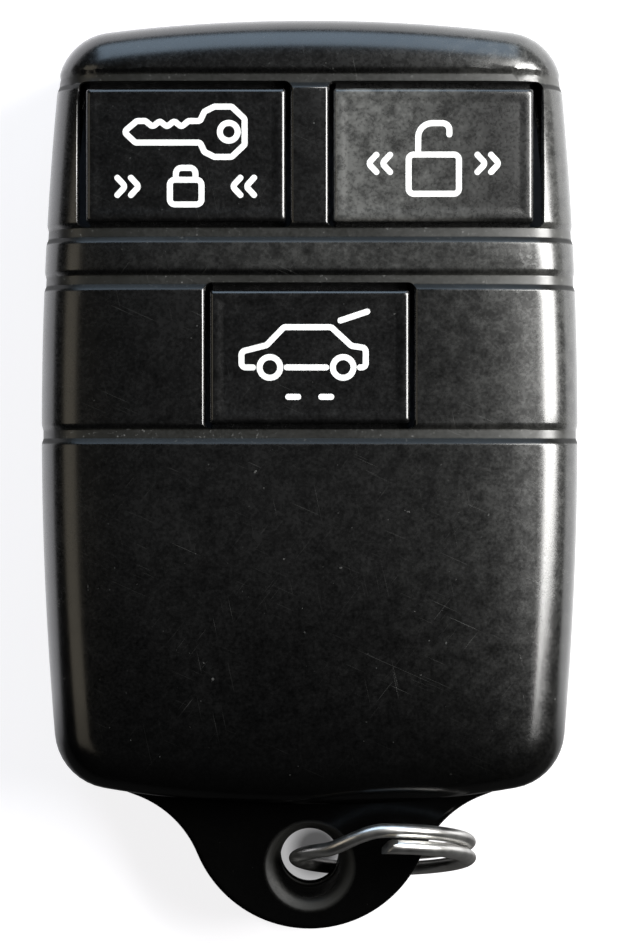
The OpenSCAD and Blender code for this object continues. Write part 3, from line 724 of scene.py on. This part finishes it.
def model_keycap(name):
    """The first cap, in the place of the lock key."""
    z = face_z - key_edge_r
    cap = round_block(name, lock_at, key_w, key_h, key_corner_r, flange_low, z)
    edge = [quarter(key_edge_r, degrees) for degrees in (15, 30, 45, 60, 75, 90)]
    steps = [(inset, z + up) for inset, up in edge]
    for share in (0.1, 0.3, 0.5, 0.7, 0.9, 1.0):
        fall = share * share * (3 - 2 * share)
        steps.append((key_edge_r + rest_in + share * rest_border, face_z - fall * rest_depth))
    taper(lock_at, key_w, key_h, z, steps)
    slice_at((0, 0, flange_top), (0, 0, 1))
    for side in (-1, 1):
        pick(cap, "FACES", lambda c, n: side * n.y > 0.99 and c.z < flange_top)
        extrude(0, side * key_flange, 0)
    face_outwards(cap)
    return cap


caps = {"lock": model_keycap("lock_cap")}
for button in ("unlock", "hatch"):
    work_on(caps["lock"])
    bpy.ops.object.duplicate()
    bpy.ops.transform.translate(value=key_place(button) - lock_at)
    caps[button] = settle(f"{button}_cap")
for button, cap in caps.items():
    follow_face(cap, face_z - 1.1 * key_edge_r, key_fall)
    finish_mesh(cap, 40)
    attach(cap, f"{button}_button")
    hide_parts(f"{button}_keycap")
print("keycaps:", [c.name for c in caps.values()], len(caps["lock"].data.polygons), "faces each")

# %% [markdown]
# The marks on the keys are printed in thick white ink, so each is a thin solid on the thumb rest. They
# are plain signs drawn for this model: a key over a shut padlock, an open padlock, and a car with its
# hatch up over two dashes. A stroke is a drawn line, extruded upwards to a ribbon and given its width by
# a Solidify modifier. It starts a little below the rest, so that no gap shows.

# %% Ink strokes
ink_w, ink_t, ink_sink = 0.42 * MM, 0.025 * MM, 0.005 * MM
ink_z = face_z - rest_depth - ink_sink


def ink(points, middle, closed=False, corner=0.3):
    """One stroke through points given in millimetres from the key's middle."""
    places = [Vector((middle.x + x * MM, middle.y + y * MM)) for x, y in points]
    if closed:
        join = (places[0] + places[-1]) / 2
        places = [join, *places, join]
    pen = Pen("stroke", *places[0], ink_z)
    for before, here, after in zip(places, places[1:], places[2:]):
        come, go = (here - before).normalized(), (after - here).normalized()
        turn = math.atan2(come.x * go.y - come.y * go.x, come.dot(go))
        slope = math.tan(abs(turn) / 2)
        reach = min(corner * MM * slope, 0.48 * (here - before).length, 0.48 * (after - here).length)
        aside = math.copysign(reach / slope, turn) * Vector((-come.y, come.x))
        pen.line(*(here - reach * come))
        pen.arc(here - reach * come + aside, turn, 6)
    pen.line(*places[-1])
    return ink_body(pen.piece, [] if closed else [Vector((*p, ink_z)) for p in (places[0], places[-1])])


def ink_body(piece, ends):
    """Gives a drawn line its height and width, and round ends."""
    pick_all(piece)
    bpy.ops.mesh.remove_doubles(threshold=4 * HAIR)
    bpy.ops.mesh.extrude_edges_move(TRANSFORM_OT_translate={"value": (0, 0, ink_t)})
    apply_modifier(piece, "SOLIDIFY", thickness=ink_w, offset=0, use_even_offset=True)
    if ends:
        pick(piece, "EDGES", lambda p: any((p - e).xy.length < 0.55 * ink_w for e in ends), upright=True)
        bevel(0.47 * ink_w, 5)
    face_outwards(piece)
    upper = [f for f in piece.data.polygons if f.center.z > ink_z + 0.9 * ink_t]
    if sum(f.normal.z * f.area for f in upper) < 0:
        pick_all(piece)
        bpy.ops.mesh.flip_normals()
        bpy.ops.object.mode_set(mode="OBJECT")
    return piece


def ink_ring(x, y, radius, middle, start=0, turn=360):
    """A round stroke, or a part of one."""
    first = Vector((middle.x + x * MM, middle.y + y * MM))
    pen = Pen("stroke", *(first + radius * MM * towards(math.radians(start))), ink_z)
    pen.arc(first, math.radians(turn), max(8, turn // 10))
    return ink_body(pen.piece, [])


print("ink in mm:", round(ink_w / MM, 2), round(ink_t / MM, 3))


# %% Padlocks, arrow heads and whole prints
def padlock(middle, x, y, size, lift, swing=0):
    """A padlock: a body with round corners and a bow that stands over it, shut or swung up."""
    w, h = 1.0 * size, 0.78 * size
    body = [(x - w, y - h), (x + w, y - h), (x + w, y + h), (x - w, y + h)]
    bow, foot = 0.62 * size, y + h
    top = foot + lift + bow
    legs = [(x - bow, foot), (x - bow, top), (x + bow, top), (x + bow, foot + swing)]
    lock = ink(body, middle, True, 0.35)
    combine(lock, "UNION", ink(legs, middle, False, 0.9 * bow))
    return [lock]


def chevrons(middle, x, y, way):
    """Two arrow heads side by side."""
    apart, deep, half = 0.95, 0.7, 0.75
    strokes = []
    for i in range(2):
        tail = x + way * (apart * i - 0.4)
        arrow = [(tail, y + half), (tail + way * deep, y), (tail, y - half)]
        strokes.append(ink(arrow, middle, False, 0.25))
    return strokes


def print_mark(button, strokes):
    """Joins the strokes of one key to one print that moves with it."""
    select_nothing()
    for stroke in strokes:
        stroke.select_set(True)
    bpy.context.view_layer.objects.active = strokes[0]
    bpy.ops.object.join()
    mark = bpy.context.object
    mark.name = f"{button}_print"
    follow_face(mark, 0, key_fall)
    finish_mesh(mark)
    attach(mark, f"{button}_button")
    return mark


print("signs ready")

# %% Draw the three prints
at = key_place("lock")
key_sign = [(1.0, 2.35), (0.2, 2.35), (-0.3, 1.95), (-0.8, 2.35), (-1.3, 1.95), (-1.8, 2.35), (-2.3, 1.95),
            (-2.8, 2.35), (-3.4, 2.35), (-4.3, 1.6), (-3.5, 0.85), (1.0, 0.85), (1.3, 0.2), (2.0, -0.15),
            (3.2, -0.15), (4.1, 0.7), (4.1, 2.5), (3.2, 3.35), (2.0, 3.35), (1.3, 3.0)]
marks = {"lock": print_mark("lock", [
    ink(key_sign, at, True, 0.22), ink_ring(3.0, 1.6, 0.62, at),
    *padlock(at, 0, -2.6, 1.1, 0.15), *chevrons(at, -4.5, -2.2, 1), *chevrons(at, 4.5, -2.2, -1),
])}
at = key_place("unlock")
marks["unlock"] = print_mark("unlock", [
    *padlock(at, 0, -1.35, 1.75, 1.1, 1.2),
    *chevrons(at, -3.3, -0.6, -1), *chevrons(at, 3.3, -0.6, 1),
])
at = key_place("hatch")
car = [(-3.75, -0.75), (-4.75, -0.75), (-4.75, 0.35), (-3.0, 0.8), (-1.8, 2.05), (1.5, 2.05), (2.9, 0.75),
       (3.9, 0.6), (3.9, -0.75), (3.3, -0.75)]
marks["hatch"] = print_mark("hatch", [
    ink(car, at, False, 0.3), ink([(-1.8, -0.75), (1.35, -0.75)], at, False, 0),
    ink([(1.95, 2.45), (4.2, 3.2)], at, False, 0),
    ink_ring(-2.77, -0.75, 0.72, at), ink_ring(2.33, -0.75, 0.72, at),
    ink([(-1.7, -2.8), (-0.6, -2.8)], at, False, 0), ink([(0.6, -2.8), (1.7, -2.8)], at, False, 0),
])
print("prints:", {b: len(m.data.polygons) for b, m in marks.items()})

# %% [markdown]
# The split ring is one springy wire in two coils. It is made lying flat: the wire's section is spun
# round for the first coil, then turned in small steps while it is moved along the axis for the crossing,
# and spun again for the second coil. The crossing lies just beyond the upper end. Both ends are cut
# slanting, so that a key can be pushed between the coils. Then the ring is stood up, leaned and moved to
# where it hangs in the lug.

# %% Split ring
ring_d, wire_w, wire_t, coil_pitch = 13.4 * MM, 1.3 * MM, 1.0 * MM, 1.12 * MM
ring_r = (ring_d - wire_w) / 2
ring_start, cross_from, cross_to, ring_end = 92, -227, -270, -480
first_steps, cross_steps, second_steps = 128, 24, 84

select_nothing()
bpy.ops.mesh.primitive_circle_add(
    vertices=24, radius=0.5, location=(ring_r, 0, coil_pitch / 2), rotation=(math.pi / 2, 0, 0))
bpy.context.object.scale = (wire_w, wire_t, 1)
ring = settle("key_ring_wire")
ring.rotation_euler.z = math.radians(ring_start)
settle(ring.name)


def run_wire(degrees, steps):
    """Carries the section on round the ring's axis, clockwise."""
    bpy.ops.mesh.spin(steps=steps, angle=math.radians(degrees), center=(0, 0, 0), axis=(0, 0, 1))


pick_all(ring)
run_wire(ring_start - cross_from, first_steps)
for i in range(cross_steps):
    before, after = i / cross_steps, (i + 1) / cross_steps
    run_wire((cross_from - cross_to) / cross_steps, 1)
    climb = after * after * (3 - 2 * after) - before * before * (3 - 2 * before)
    bpy.ops.transform.translate(value=(0, 0, -coil_pitch * climb))
run_wire(cross_to - ring_end, second_steps)
bpy.ops.mesh.select_all(action="SELECT")
bpy.ops.mesh.fill_holes(sides=0)
face_outwards(ring)
print("ring laid flat:", len(ring.data.polygons), "faces", [round(v / MM, 2) for v in ring.dimensions])

# %% Cut its ends and hang it in the lug
chisel, chisel_out = math.radians(42), 0.6
end_reach, end_slack, end_cut, end_chamfer = 1.6 * MM, 0.05 * MM, 0.5 * MM, 0.05 * MM
ring_low, ring_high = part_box("split_ring")
ring_lean = math.radians(15)
ring_shift = Vector((-0.2, -0.14, -0.35)) * MM


def cut_end(degrees, way, coil):
    """Cuts one end slanting.

    way is 1 where the angle grows towards the end, and coil is 1 for the upper coil.
    """
    angle = math.radians(degrees)
    arm = Vector((math.cos(angle), math.sin(angle), 0))
    out = way * Vector((-math.sin(angle), math.cos(angle), 0))
    up = coil * Vector((0, 0, 1))
    tip = ring_r * arm + coil_pitch / 2 * up
    normal = math.cos(chisel) * out - math.sin(chisel) * up + chisel_out * arm

    def at_end(c, n):
        """A test for faces of this coil that lie at the end, and not beyond it."""
        off = c - tip
        return off.length < end_reach and off.dot(out) < end_slack and coil * c.z > 0

    pick(ring, "FACES", at_end)
    bpy.ops.mesh.bisect(plane_co=tip - end_cut * out, plane_no=normal, use_fill=True, clear_outer=True)
    bevel(end_chamfer, 2)
    bpy.ops.object.mode_set(mode="OBJECT")


cut_end(ring_start, 1, 1)
cut_end(ring_end, -1, -1)
work_on(ring)
ring.rotation_euler = (math.pi / 2 - ring_lean, 0, 0)
ring.location = (ring_low + ring_high) / 2 + ring_shift
settle(ring.name)
finish_mesh(ring, 50)
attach(ring, "key_ring")
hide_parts("split_ring")
print("ring hung:", [round(v / MM, 2) for v in (*ring_low, *ring_high)])

# %% [markdown]
# Finishes are written as sums. A small class wraps a shader socket, so that an expression such as
# 1 - mask adds its own Math nodes, and one method adds any other node with its settings and sockets.

# %% Sockets as numbers
class Wire:
    """A shader socket that can be used in sums."""

    def __init__(self, tree, socket=None):
        self.tree = tree
        self.socket = socket

    def add(self, kind, settings=None, sockets=None, out=0):
        """Adds a node, sets it up, fills or links its sockets, and gives one of its outputs."""
        node = self.tree.nodes.new("ShaderNode" + kind)
        for name, value in (settings or {}).items():
            setattr(node, name, value)
        for name, value in (sockets or {}).items():
            if isinstance(value, Wire):
                self.tree.links.new(value.socket, node.inputs[name])
            else:
                node.inputs[name].default_value = value
        return Wire(self.tree, node.outputs[out])

    def math(self, operation, *values):
        """Adds one Math node."""
        return self.add("Math", {"operation": operation}, dict(enumerate(values)))

    def __add__(self, other):
        return self.math("ADD", self, other)

    def __radd__(self, other):
        return self.math("ADD", other, self)

    def __sub__(self, other):
        return self.math("SUBTRACT", self, other)

    def __rsub__(self, other):
        return self.math("SUBTRACT", other, self)

    def __mul__(self, other):
        return self.math("MULTIPLY", self, other)

    def __rmul__(self, other):
        return self.math("MULTIPLY", other, self)

    def __gt__(self, other):
        return self.math("GREATER_THAN", self, other)

    def __abs__(self):
        return self.math("ABSOLUTE", self)

    def ramp(self, low, high):
        """0 below low, 1 above high, and even between them."""
        return self.add("MapRange", {"clamp": True}, {"Value": self, "From Min": low, "From Max": high})

    def blend(self, a, b):
        """A colour that goes from a to b as this value goes from 0 to 1."""
        colours = {"Factor": self, 6: a, 7: b}
        return self.add("Mix", {"data_type": "RGBA"}, colours, out=2)

    def distance(self, point):
        """How far this place is from a point."""
        return self.add("VectorMath", {"operation": "DISTANCE"}, {0: self, 1: point}, out="Value")


def new_finish(name):
    """A material with its shader, and a wire that holds the Object coordinates."""
    material = bpy.data.materials.new(name)
    material.use_nodes = True
    tree = material.node_tree
    shader = tree.nodes["Principled BSDF"]
    place = Wire(tree).add("TexCoord", out="Object")
    return material, shader, place


def plug(wire, shader, socket):
    """Links a wire to a shader's socket."""
    wire.tree.links.new(wire.socket, shader.inputs[socket])


def roughen(place, shader, height, strength, distance):
    """Lets a height roughen the surface through a Bump node."""
    bump = place.add("Bump", None, {"Height": height, "Strength": strength, "Distance": distance})
    plug(bump, shader, "Normal")


def grey(value):
    return (value, value, value, 1)


def dress(piece, finish):
    """Gives a piece one finish in place of any other."""
    piece.data.materials.clear()
    piece.data.materials.append(finish)


print("shader sums ready")

# %% [markdown]
# The shells are satin black plastic that has spent years in pockets. Its finish is noise on Object
# coordinates, each kind at its real size. A hairline is noise stretched a hundredfold along one
# direction and kept only at its crests.

# %% Noise and hairlines
def noise(place, size, detail=2.0, rough=0.5):
    """Noise whose features are about that large, in metres."""
    sockets = {"Vector": place, "Scale": 1 / size, "Detail": detail, "Roughness": rough}
    return place.add("TexNoise", None, sockets)


def hairlines(place, degrees, length, width, crest):
    """Fine straight scratches that run at an angle across the face."""
    turned = place.add("Mapping", None, {"Vector": place, "Rotation": (0, 0, math.radians(degrees))})
    drawn = place.add("Mapping", None, {"Vector": turned, "Scale": (1 / length, 1 / width, 1 / length)})
    lines = place.add("TexNoise", None, {"Vector": drawn, "Scale": 1.0, "Detail": 1.0, "Distortion": 0.15})
    return lines.ramp(crest, crest + 0.05)


def scratches(place):
    """What keys and coins have left: hairlines in three directions."""
    lines = hairlines(place, 24, 5 * MM, 0.05 * MM, 0.735)
    lines = lines + hairlines(place, -52, 4 * MM, 0.045 * MM, 0.74)
    return lines + hairlines(place, 78, 6 * MM, 0.05 * MM, 0.745)


def parts_of(place):
    """The place across, along and up, as three wires."""
    return [place.add("SeparateXYZ", None, {"Vector": place}, out=axis) for axis in "XYZ"]


print("noise ready")

# %% [markdown]
# Wear isn't even. Thumbs have dulled the raised ridge and one key, and the face is painted paler
# towards its upper right as a glow of the window's light. Dust has settled in the grooves, painted paler
# towards the right where that light falls, the ring has left grime at the mouth of the lug's hole, and
# the right edge is scraped in two places. Each is a map over the surface that a finish can use in its sums.

# %% Where the plastic is worn, and where light is painted
def rub_and_glow_map(place):
    """Where the shell is pale: the ridge, dulled by thumbs, and a painted glow towards the upper right."""
    across, along, _ = parts_of(place)
    ridge = along.ramp(groove_3 + 0.6 * MM, groove_3 + 1 * MM)
    ridge = ridge * (1 - along.ramp(groove_2 - 0.7 * MM, groove_2))
    right = across.ramp(-2 * MM, 17 * MM)
    ridge = ridge * (0.05 + 0.52 * across.ramp(-13 * MM, 2 * MM) - 0.5 * right * right)
    # Painted glow: the face grows paler towards its upper right, where the window's light falls.
    return 1.35 * right * right * right * along.ramp(-24 * MM, 20 * MM) + ridge


def key_rub(place):
    """The worn key: its top is dull, most of all towards the divider, and its sides in the gap aren't."""
    across, _, up = parts_of(place)
    return up.ramp(face_z - 0.7 * MM, face_z - 0.3 * MM) * (1.1 - 1.0 * across.ramp(2 * MM, 13 * MM))


def key_haze(place):
    """The other keys: hardly dull, and unevenly."""
    return 0.06 * noise(place, 3 * MM)


def groove_bands(place, low, inner, outer):
    """A band in each groove, with its middle lower than the groove's; it fades from inner to outer."""
    along = parts_of(place)[1]
    bands = 0
    for y in grooves:
        bands = bands + (1 - abs(along - (y - low)).ramp(inner, outer))
    return bands


def mouth_map(place):
    """The mouth of the lug's hole, where the ring has left grey grime."""
    off = place.distance((0, mouth_y, lug_top - 0.2 * MM))
    return off.ramp(2.2 * MM, 2.7 * MM) * (1 - off.ramp(3.0 * MM, 3.4 * MM))


def scuff(place, x, y, size):
    """A small scraped patch round one place on the face, in millimetres."""
    off = place.distance((x * MM, y * MM, face_z))
    return (1 - off.ramp(0.4 * size * MM, size * MM)) * noise(place, 0.35 * MM, 3.0).ramp(0.52, 0.62)


print("wear maps ready")

# %% [markdown]
# One function makes all three plastics. The mould's grain mottles colour and gloss alike, because on
# black plastic the eye sees it mostly in the gloss. Specks and scratches lie over it. Hands have
# polished the upper part, and the low end and the lug are fresher and smoother. The shell also has the
# dust, painted paler towards the right where the window's light falls, the grime and the scrapes. A
# plain gloss would mirror too much at its low end and on the grooves' lower walls, so there a Mix
# Shader leads over to a matt black.

# %% Worn black plastic
low_end, fresh_end = (-23 * MM, -15 * MM), (-20 * MM, -4 * MM)


def worn_plastic(name, colour, rough, polish, grain, haze, dulled, wear, dusty=False):
    """Black plastic with its colour, roughness, polish by hands and depth of grain.

    haze maps where it is paler, from wear and, on the shell, from a painted glow too. dulled says how
    pale it is there, and wear how much its scratches show.
    """
    material, shader, place = new_finish(name)
    across, along, _ = parts_of(place)
    fine = noise(place, 0.2 * MM, 4.0, 0.65)
    blotch = noise(place, 1.1 * MM, 4.0, 0.65)
    cloud = noise(place, 6 * MM, 3.0, 0.55)
    specks = noise(place, 0.3 * MM, 1.0).ramp(0.775, 0.80) * cloud.ramp(0.4, 0.55)
    scratch = scratches(place) * cloud.ramp(0.42, 0.62) * along.ramp(*low_end)
    fresh = 1 - along.ramp(*fresh_end)
    marks_seen = specks * 0.5 + scratch * wear
    mottle = noise(place, 0.23 * MM, 3.0, 0.6).ramp(0.27, 0.73) * 0.65 + blotch.ramp(0.3, 0.7) * 0.35
    base = mottle.blend(grey(0), (*[c * 2.4 for c in colour], 1))
    # On the shell the haze map is partly a painted glow, so this paleness is partly painted light.
    dull = haze(place) * (0.22 + 1.7 * mottle * blotch.ramp(0.25, 0.7))
    base = dull.blend(base, (dulled, dulled, 0.95 * dulled, 1))
    if dusty:
        mouth = mouth_map(place)
        settled = groove_bands(place, 0.15 * MM, 0.35 * MM, 0.6 * MM)
        walls = groove_bands(place, (groove_top + groove_floor) / 2, 0.13 * MM, 0.24 * MM)
        dust = (settled + 1.6 * mouth) * (0.5 + 0.5 * fine)
        # Painted light: the dust is painted paler towards the right, where the window's light falls, but
        # not on the grooves' lower walls.
        right = across.ramp(3 * MM, 14 * MM) * (1 - walls)
        base = dust.blend(base, right.blend((0.012, 0.012, 0.010, 1), (0.06, 0.06, 0.056, 1)))
        rough = rough + 0.12 * dust + 0.22 * mouth
        polish = polish * (1 - dust)
        fresh = fresh * (1 - mouth)
        gloss = Wire(place.tree, shader.outputs["BSDF"])
        matt = place.add("BsdfDiffuse", None, {"Color": grey(0.0015)})
        share = 0.85 * (1 - along.ramp(*low_end)) * (1 - 0.6 * mouth) + 0.6 * walls
        surface = place.add("MixShader", None, {0: share, 1: gloss, 2: matt})
        plug(surface, place.tree.nodes["Material Output"], "Surface")
        grit = noise(place, 0.22 * MM, 2.0).ramp(0.64, 0.70) * settled * blotch.ramp(0.45, 0.6)
        scraped = scuff(place, 15.6, 15.6, 1.3) + scuff(place, 15.4, 27.9, 0.9)
        marks_seen = marks_seen + scraped + 0.8 * grit
    plug(marks_seen.blend(base, (0.12, 0.12, 0.115, 1)), shader, "Base Color")
    rough = rough + 0.08 * (cloud - 0.5) + 0.15 * (mottle - 0.54) + 0.15 * marks_seen
    plug(rough - 0.09 * fresh, shader, "Roughness")
    polish = polish * (0.6 + 0.8 * cloud) * (1 - 0.6 * marks_seen)
    plug(polish * (1 - 0.6 * fresh), shader, "Coat Weight")
    height = fine * 0.7 + 0.3 * noise(place, 0.5 * MM, 2.0) - 0.5 * scratch
    roughen(place, shader, height, 0.35, grain)
    shader.inputs["Coat Roughness"].default_value = 0.22
    shader.inputs["Specular IOR Level"].default_value = 0.8
    return material


print("worn plastic ready")

# %% The three plastics
shell_black = worn_plastic(
    "shell_black", (0.0012, 0.0012, 0.0012), 0.27, 0.6, 0.010 * MM, rub_and_glow_map, 0.055, 0.35, True)
key_black = worn_plastic(
    "key_black", (0.0012, 0.0012, 0.0013), 0.25, 0.6, 0.005 * MM, key_haze, 0.055, 0.15)
worn_key_black = worn_plastic(
    "worn_key_black", (0.004, 0.004, 0.0039), 0.29, 0.4, 0.010 * MM, key_rub, 0.105, 0.15)
for piece in (shell, cover):
    dress(piece, shell_black)
for button, cap in caps.items():
    dress(cap, worn_key_black if button == "unlock" else key_black)
print("plastics:", shell_black.name, key_black.name, worn_key_black.name)

# %% [markdown]
# White ink is matt and a little uneven, and thumbs have rubbed pits into it. The ring is nickelled
# steel: a bright metal with fine scratches all round, duller in patches where keys have worn the
# plating.

# %% Ink and nickel
def white_ink():
    """Thick white ink with worn pits."""
    material, shader, place = new_finish("white_ink")
    thin = noise(place, 0.9 * MM, 4.0, 0.6)
    pits = noise(place, 0.12 * MM, 2.0).ramp(0.66, 0.72)
    base = thin.ramp(0.3, 0.7).blend((0.80, 0.80, 0.78, 1), (0.90, 0.90, 0.89, 1))
    base = (pits * 0.35).blend(base, (0.45, 0.45, 0.44, 1))
    plug(base, shader, "Base Color")
    plug(0.5 + 0.2 * (thin - 0.5), shader, "Roughness")
    roughen(place, shader, thin, 0.3, 0.01 * MM)
    return material


def nickel():
    """Nickel plating, rubbed by keys."""
    material, shader, place = new_finish("rubbed_nickel")
    cloud = noise(place, 1.2 * MM, 3.0)
    fine = noise(place, 0.1 * MM, 2.0)
    rub = hairlines(place, 12, 2 * MM, 0.05 * MM, 0.66) + hairlines(place, -35, 2 * MM, 0.05 * MM, 0.68)
    base = cloud.ramp(0.35, 0.65).blend((0.68, 0.67, 0.65, 1), (0.86, 0.85, 0.83, 1))
    plug(base, shader, "Base Color")
    plug(0.30 + 0.08 * cloud.ramp(0.4, 0.7) + 0.06 * rub, shader, "Roughness")
    roughen(place, shader, fine - rub, 0.08, 0.004 * MM)
    shader.inputs["Metallic"].default_value = 1.0
    return material


ink_white = white_ink()
for mark in marks.values():
    dress(mark, ink_white)
dress(ring, nickel())
print("ink and nickel ready")

# %% [markdown]
# The pieces inside keep their solids. Each family gets a finish of its own: silicone, carbon rubber,
# laminate with solder mask, plated copper, moulded epoxy, tinned and nickelled metal, dipped and fired
# ceramic, and the steel and the seals of the cells. One function makes them all, because they differ
# only in colour, metal, roughness and the size of their mottling.

# %% Finishes of the inner pieces
def mottled(name, colour, spread, size, rough, metal=0.0):
    """A finish whose colour, roughness and surface vary a little, in patches of a size in millimetres."""
    material, shader, place = new_finish(name)
    cloud = noise(place, size * MM, 3.0)
    fine = noise(place, 0.15 * size * MM, 2.0)
    dark = (*[c * (1 - spread) for c in colour], 1)
    light = (*[min(1, c * (1 + spread)) for c in colour], 1)
    plug((0.6 * cloud + 0.4 * fine).ramp(0.3, 0.7).blend(dark, light), shader, "Base Color")
    plug(rough + 0.2 * (cloud - 0.5), shader, "Roughness")
    roughen(place, shader, fine, 0.3, 0.01 * MM)
    shader.inputs["Metallic"].default_value = metal
    return material


families = {
    mottled("silicone", (0.20, 0.20, 0.22), 0.15, 2.0, 0.6): (
        "lock_dome", "unlock_dome", "hatch_dome", "keypad_membrane"),
    mottled("carbon_rubber", (0.02, 0.02, 0.02), 0.3, 0.6, 0.7): ("lock_pill", "unlock_pill", "hatch_pill"),
    mottled("solder_mask", (0.03, 0.16, 0.07), 0.2, 3.0, 0.35): ("circuit_board",),
    mottled("plated_copper", (0.72, 0.42, 0.2), 0.15, 1.0, 0.35, 1.0): ("contact_pads", "antenna_loop"),
    mottled("moulded_epoxy", (0.025, 0.025, 0.027), 0.3, 0.5, 0.55): (
        "encoder_chip", "transistor", "chip_resistors"),
    mottled("tinned_spring", (0.68, 0.68, 0.66), 0.12, 1.0, 0.3, 1.0): (
        "chip_leads", "battery_clip_positive", "battery_contact_negative"),
    mottled("nickelled_can", (0.66, 0.64, 0.58), 0.1, 1.5, 0.28, 1.0): ("saw_resonator",),
    mottled("blue_dip", (0.03, 0.1, 0.36), 0.2, 1.0, 0.3): ("ceramic_resonator",),
    mottled("fired_ceramic", (0.45, 0.33, 0.2), 0.15, 0.4, 0.6): ("chip_capacitors",),
    mottled("cell_steel", (0.66, 0.66, 0.64), 0.08, 2.0, 0.26, 1.0): (
        "lower_cell_can", "lower_cell_cap", "upper_cell_can", "upper_cell_cap"),
    mottled("cell_seal", (0.3, 0.31, 0.33), 0.1, 1.0, 0.5): ("lower_cell_seal", "upper_cell_seal"),
}
for finish, names in families.items():
    for name in names:
        dress(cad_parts[name], finish)
print("inner finishes:", len(families))

# %% [markdown]
# The fob lies on a sheet of white paper. The floor is a large pale sheet that keeps the fob's shadow,
# and some light of its own, seen by the camera and in reflections, brings it up to white. In reflections
# it is painted dark towards the lug, which would mirror it too brightly, and a painted shadow darkens
# it where it shows through the lug's hole.

# %% Floor
def paper():
    """White paper, with painted shade: its colour is a little cooler and darker on the side away from the
    light.
    """
    material, shader, place = new_finish("paper")
    across, along, _ = parts_of(place)
    tooth = noise(place, 1.5 * MM, 3.0)
    glossy = place.add("LightPath", out="Is Glossy Ray")
    # Painted shade in reflections: for glossy rays the sheet turns dark towards the lug.
    lit = 1 - glossy * (1 - along.ramp(-29 * MM, -18 * MM))
    # Painted shade: the sheet's colour is cooler and darker towards the left, away from the window.
    sheet = across.ramp(-30 * MM, 15 * MM).blend((0.33, 0.325, 0.355, 1), (0.36, 0.36, 0.36, 1))
    plug(lit.blend(grey(0.03), sheet), shader, "Base Color")
    plug(0.9 + 0.1 * tooth, shader, "Roughness")
    seen = place.add("LightPath", out="Is Camera Ray") + glossy
    seen = (seen + place.add("LightPath", out="Is Transmission Ray") > 0.5) * lit
    # Painted shadow: under the lug's hole the sheet's own light is dimmed, darkest in a small spot there.
    under = place.distance((0.5 * MM, hole_y + 0.1 * MM, 0))
    seen = seen * (0.1 + 0.4 * under.ramp(1.1 * MM, 2.3 * MM) + 0.5 * under.ramp(3 * MM, 7 * MM))
    plug(seen.blend(grey(0), (0.855, 0.85, 0.86, 1)), shader, "Emission Color")
    shader.inputs["Emission Strength"].default_value = 1.0
    return material


sheet_size, sheet_gap = 1.6, 0.02 * MM
select_nothing()
bpy.ops.mesh.primitive_plane_add(size=sheet_size, location=(0, 0, -sheet_gap))
floor = settle("paper_sheet")
pick_all(floor)
bpy.ops.mesh.subdivide(number_cuts=3)
bpy.ops.object.mode_set(mode="OBJECT")
dress(floor, paper())
print("floor:", floor.name)

# %% [markdown]
# The light is that of a room by day. A large soft window stands at the right, with a faint small glow
# nearer to the face. A cooler light stands low beyond the top end, a faint warm one is the wall at the
# left, and straight above it is dark, so that the flat face stays black.

# %% Lights
def soft_light(name, place, size, power, colour):
    """A rectangular soft light that faces the fob."""
    lamp = bpy.data.lights.new(name, "AREA")
    lamp.shape = "RECTANGLE"
    lamp.size, lamp.size_y = size
    lamp.energy = power
    lamp.color = colour
    holder = bpy.data.objects.new(name, lamp)
    bpy.context.scene.collection.objects.link(holder)
    holder.location = place
    holder.rotation_euler = (-Vector(place)).to_track_quat("-Z", "Y").to_euler()
    return holder


soft_light("window_right", (0.235, 0.07, 0.235), (0.20, 0.17), 1.95, (1.0, 0.99, 0.97))
soft_light("window_glow", (0.07, 0.07, 0.13), (0.05, 0.05), 0.05, (1.0, 0.99, 0.96))
soft_light("sky_top", (-0.02, 0.38, 0.23), (0.46, 0.34), 1.0, (0.62, 0.80, 1.0))
soft_light("wall_left", (-0.30, 0.0, 0.30), (0.30, 0.20), 0.12, (1.0, 0.9, 0.72))
world = bpy.data.worlds.new("room")
world.use_nodes = True
backdrop = world.node_tree.nodes["Background"]
backdrop.inputs["Color"].default_value = (0.95, 0.97, 1.0, 1)
backdrop.inputs["Strength"].default_value = 0.01
bpy.context.scene.world = world

# %% [markdown]
# The camera looks straight down from 200 mm above the front face, as the photograph does: both sides of
# the case lean in alike. Its lens is worked out from the length on the face that fills the frame.

# %% Camera
camera_rise = 200 * MM
frame_long, frame_x, frame_y = 65.62 * MM, -0.05 * MM, 0.53 * MM
sensor = 36
camera_data = bpy.data.cameras.new("camera")
camera_data.sensor_fit = "AUTO"
camera_data.sensor_width = sensor
camera_data.lens = sensor * camera_rise / frame_long
camera_data.clip_start = 10 * MM
camera = bpy.data.objects.new("camera", camera_data)
bpy.context.scene.collection.objects.link(camera)
camera.location = (frame_x, frame_y, face_z + camera_rise)
bpy.context.scene.camera = camera
bpy.context.scene.view_settings.view_transform = "Standard"
print("lens:", round(camera_data.lens, 1), "mm")
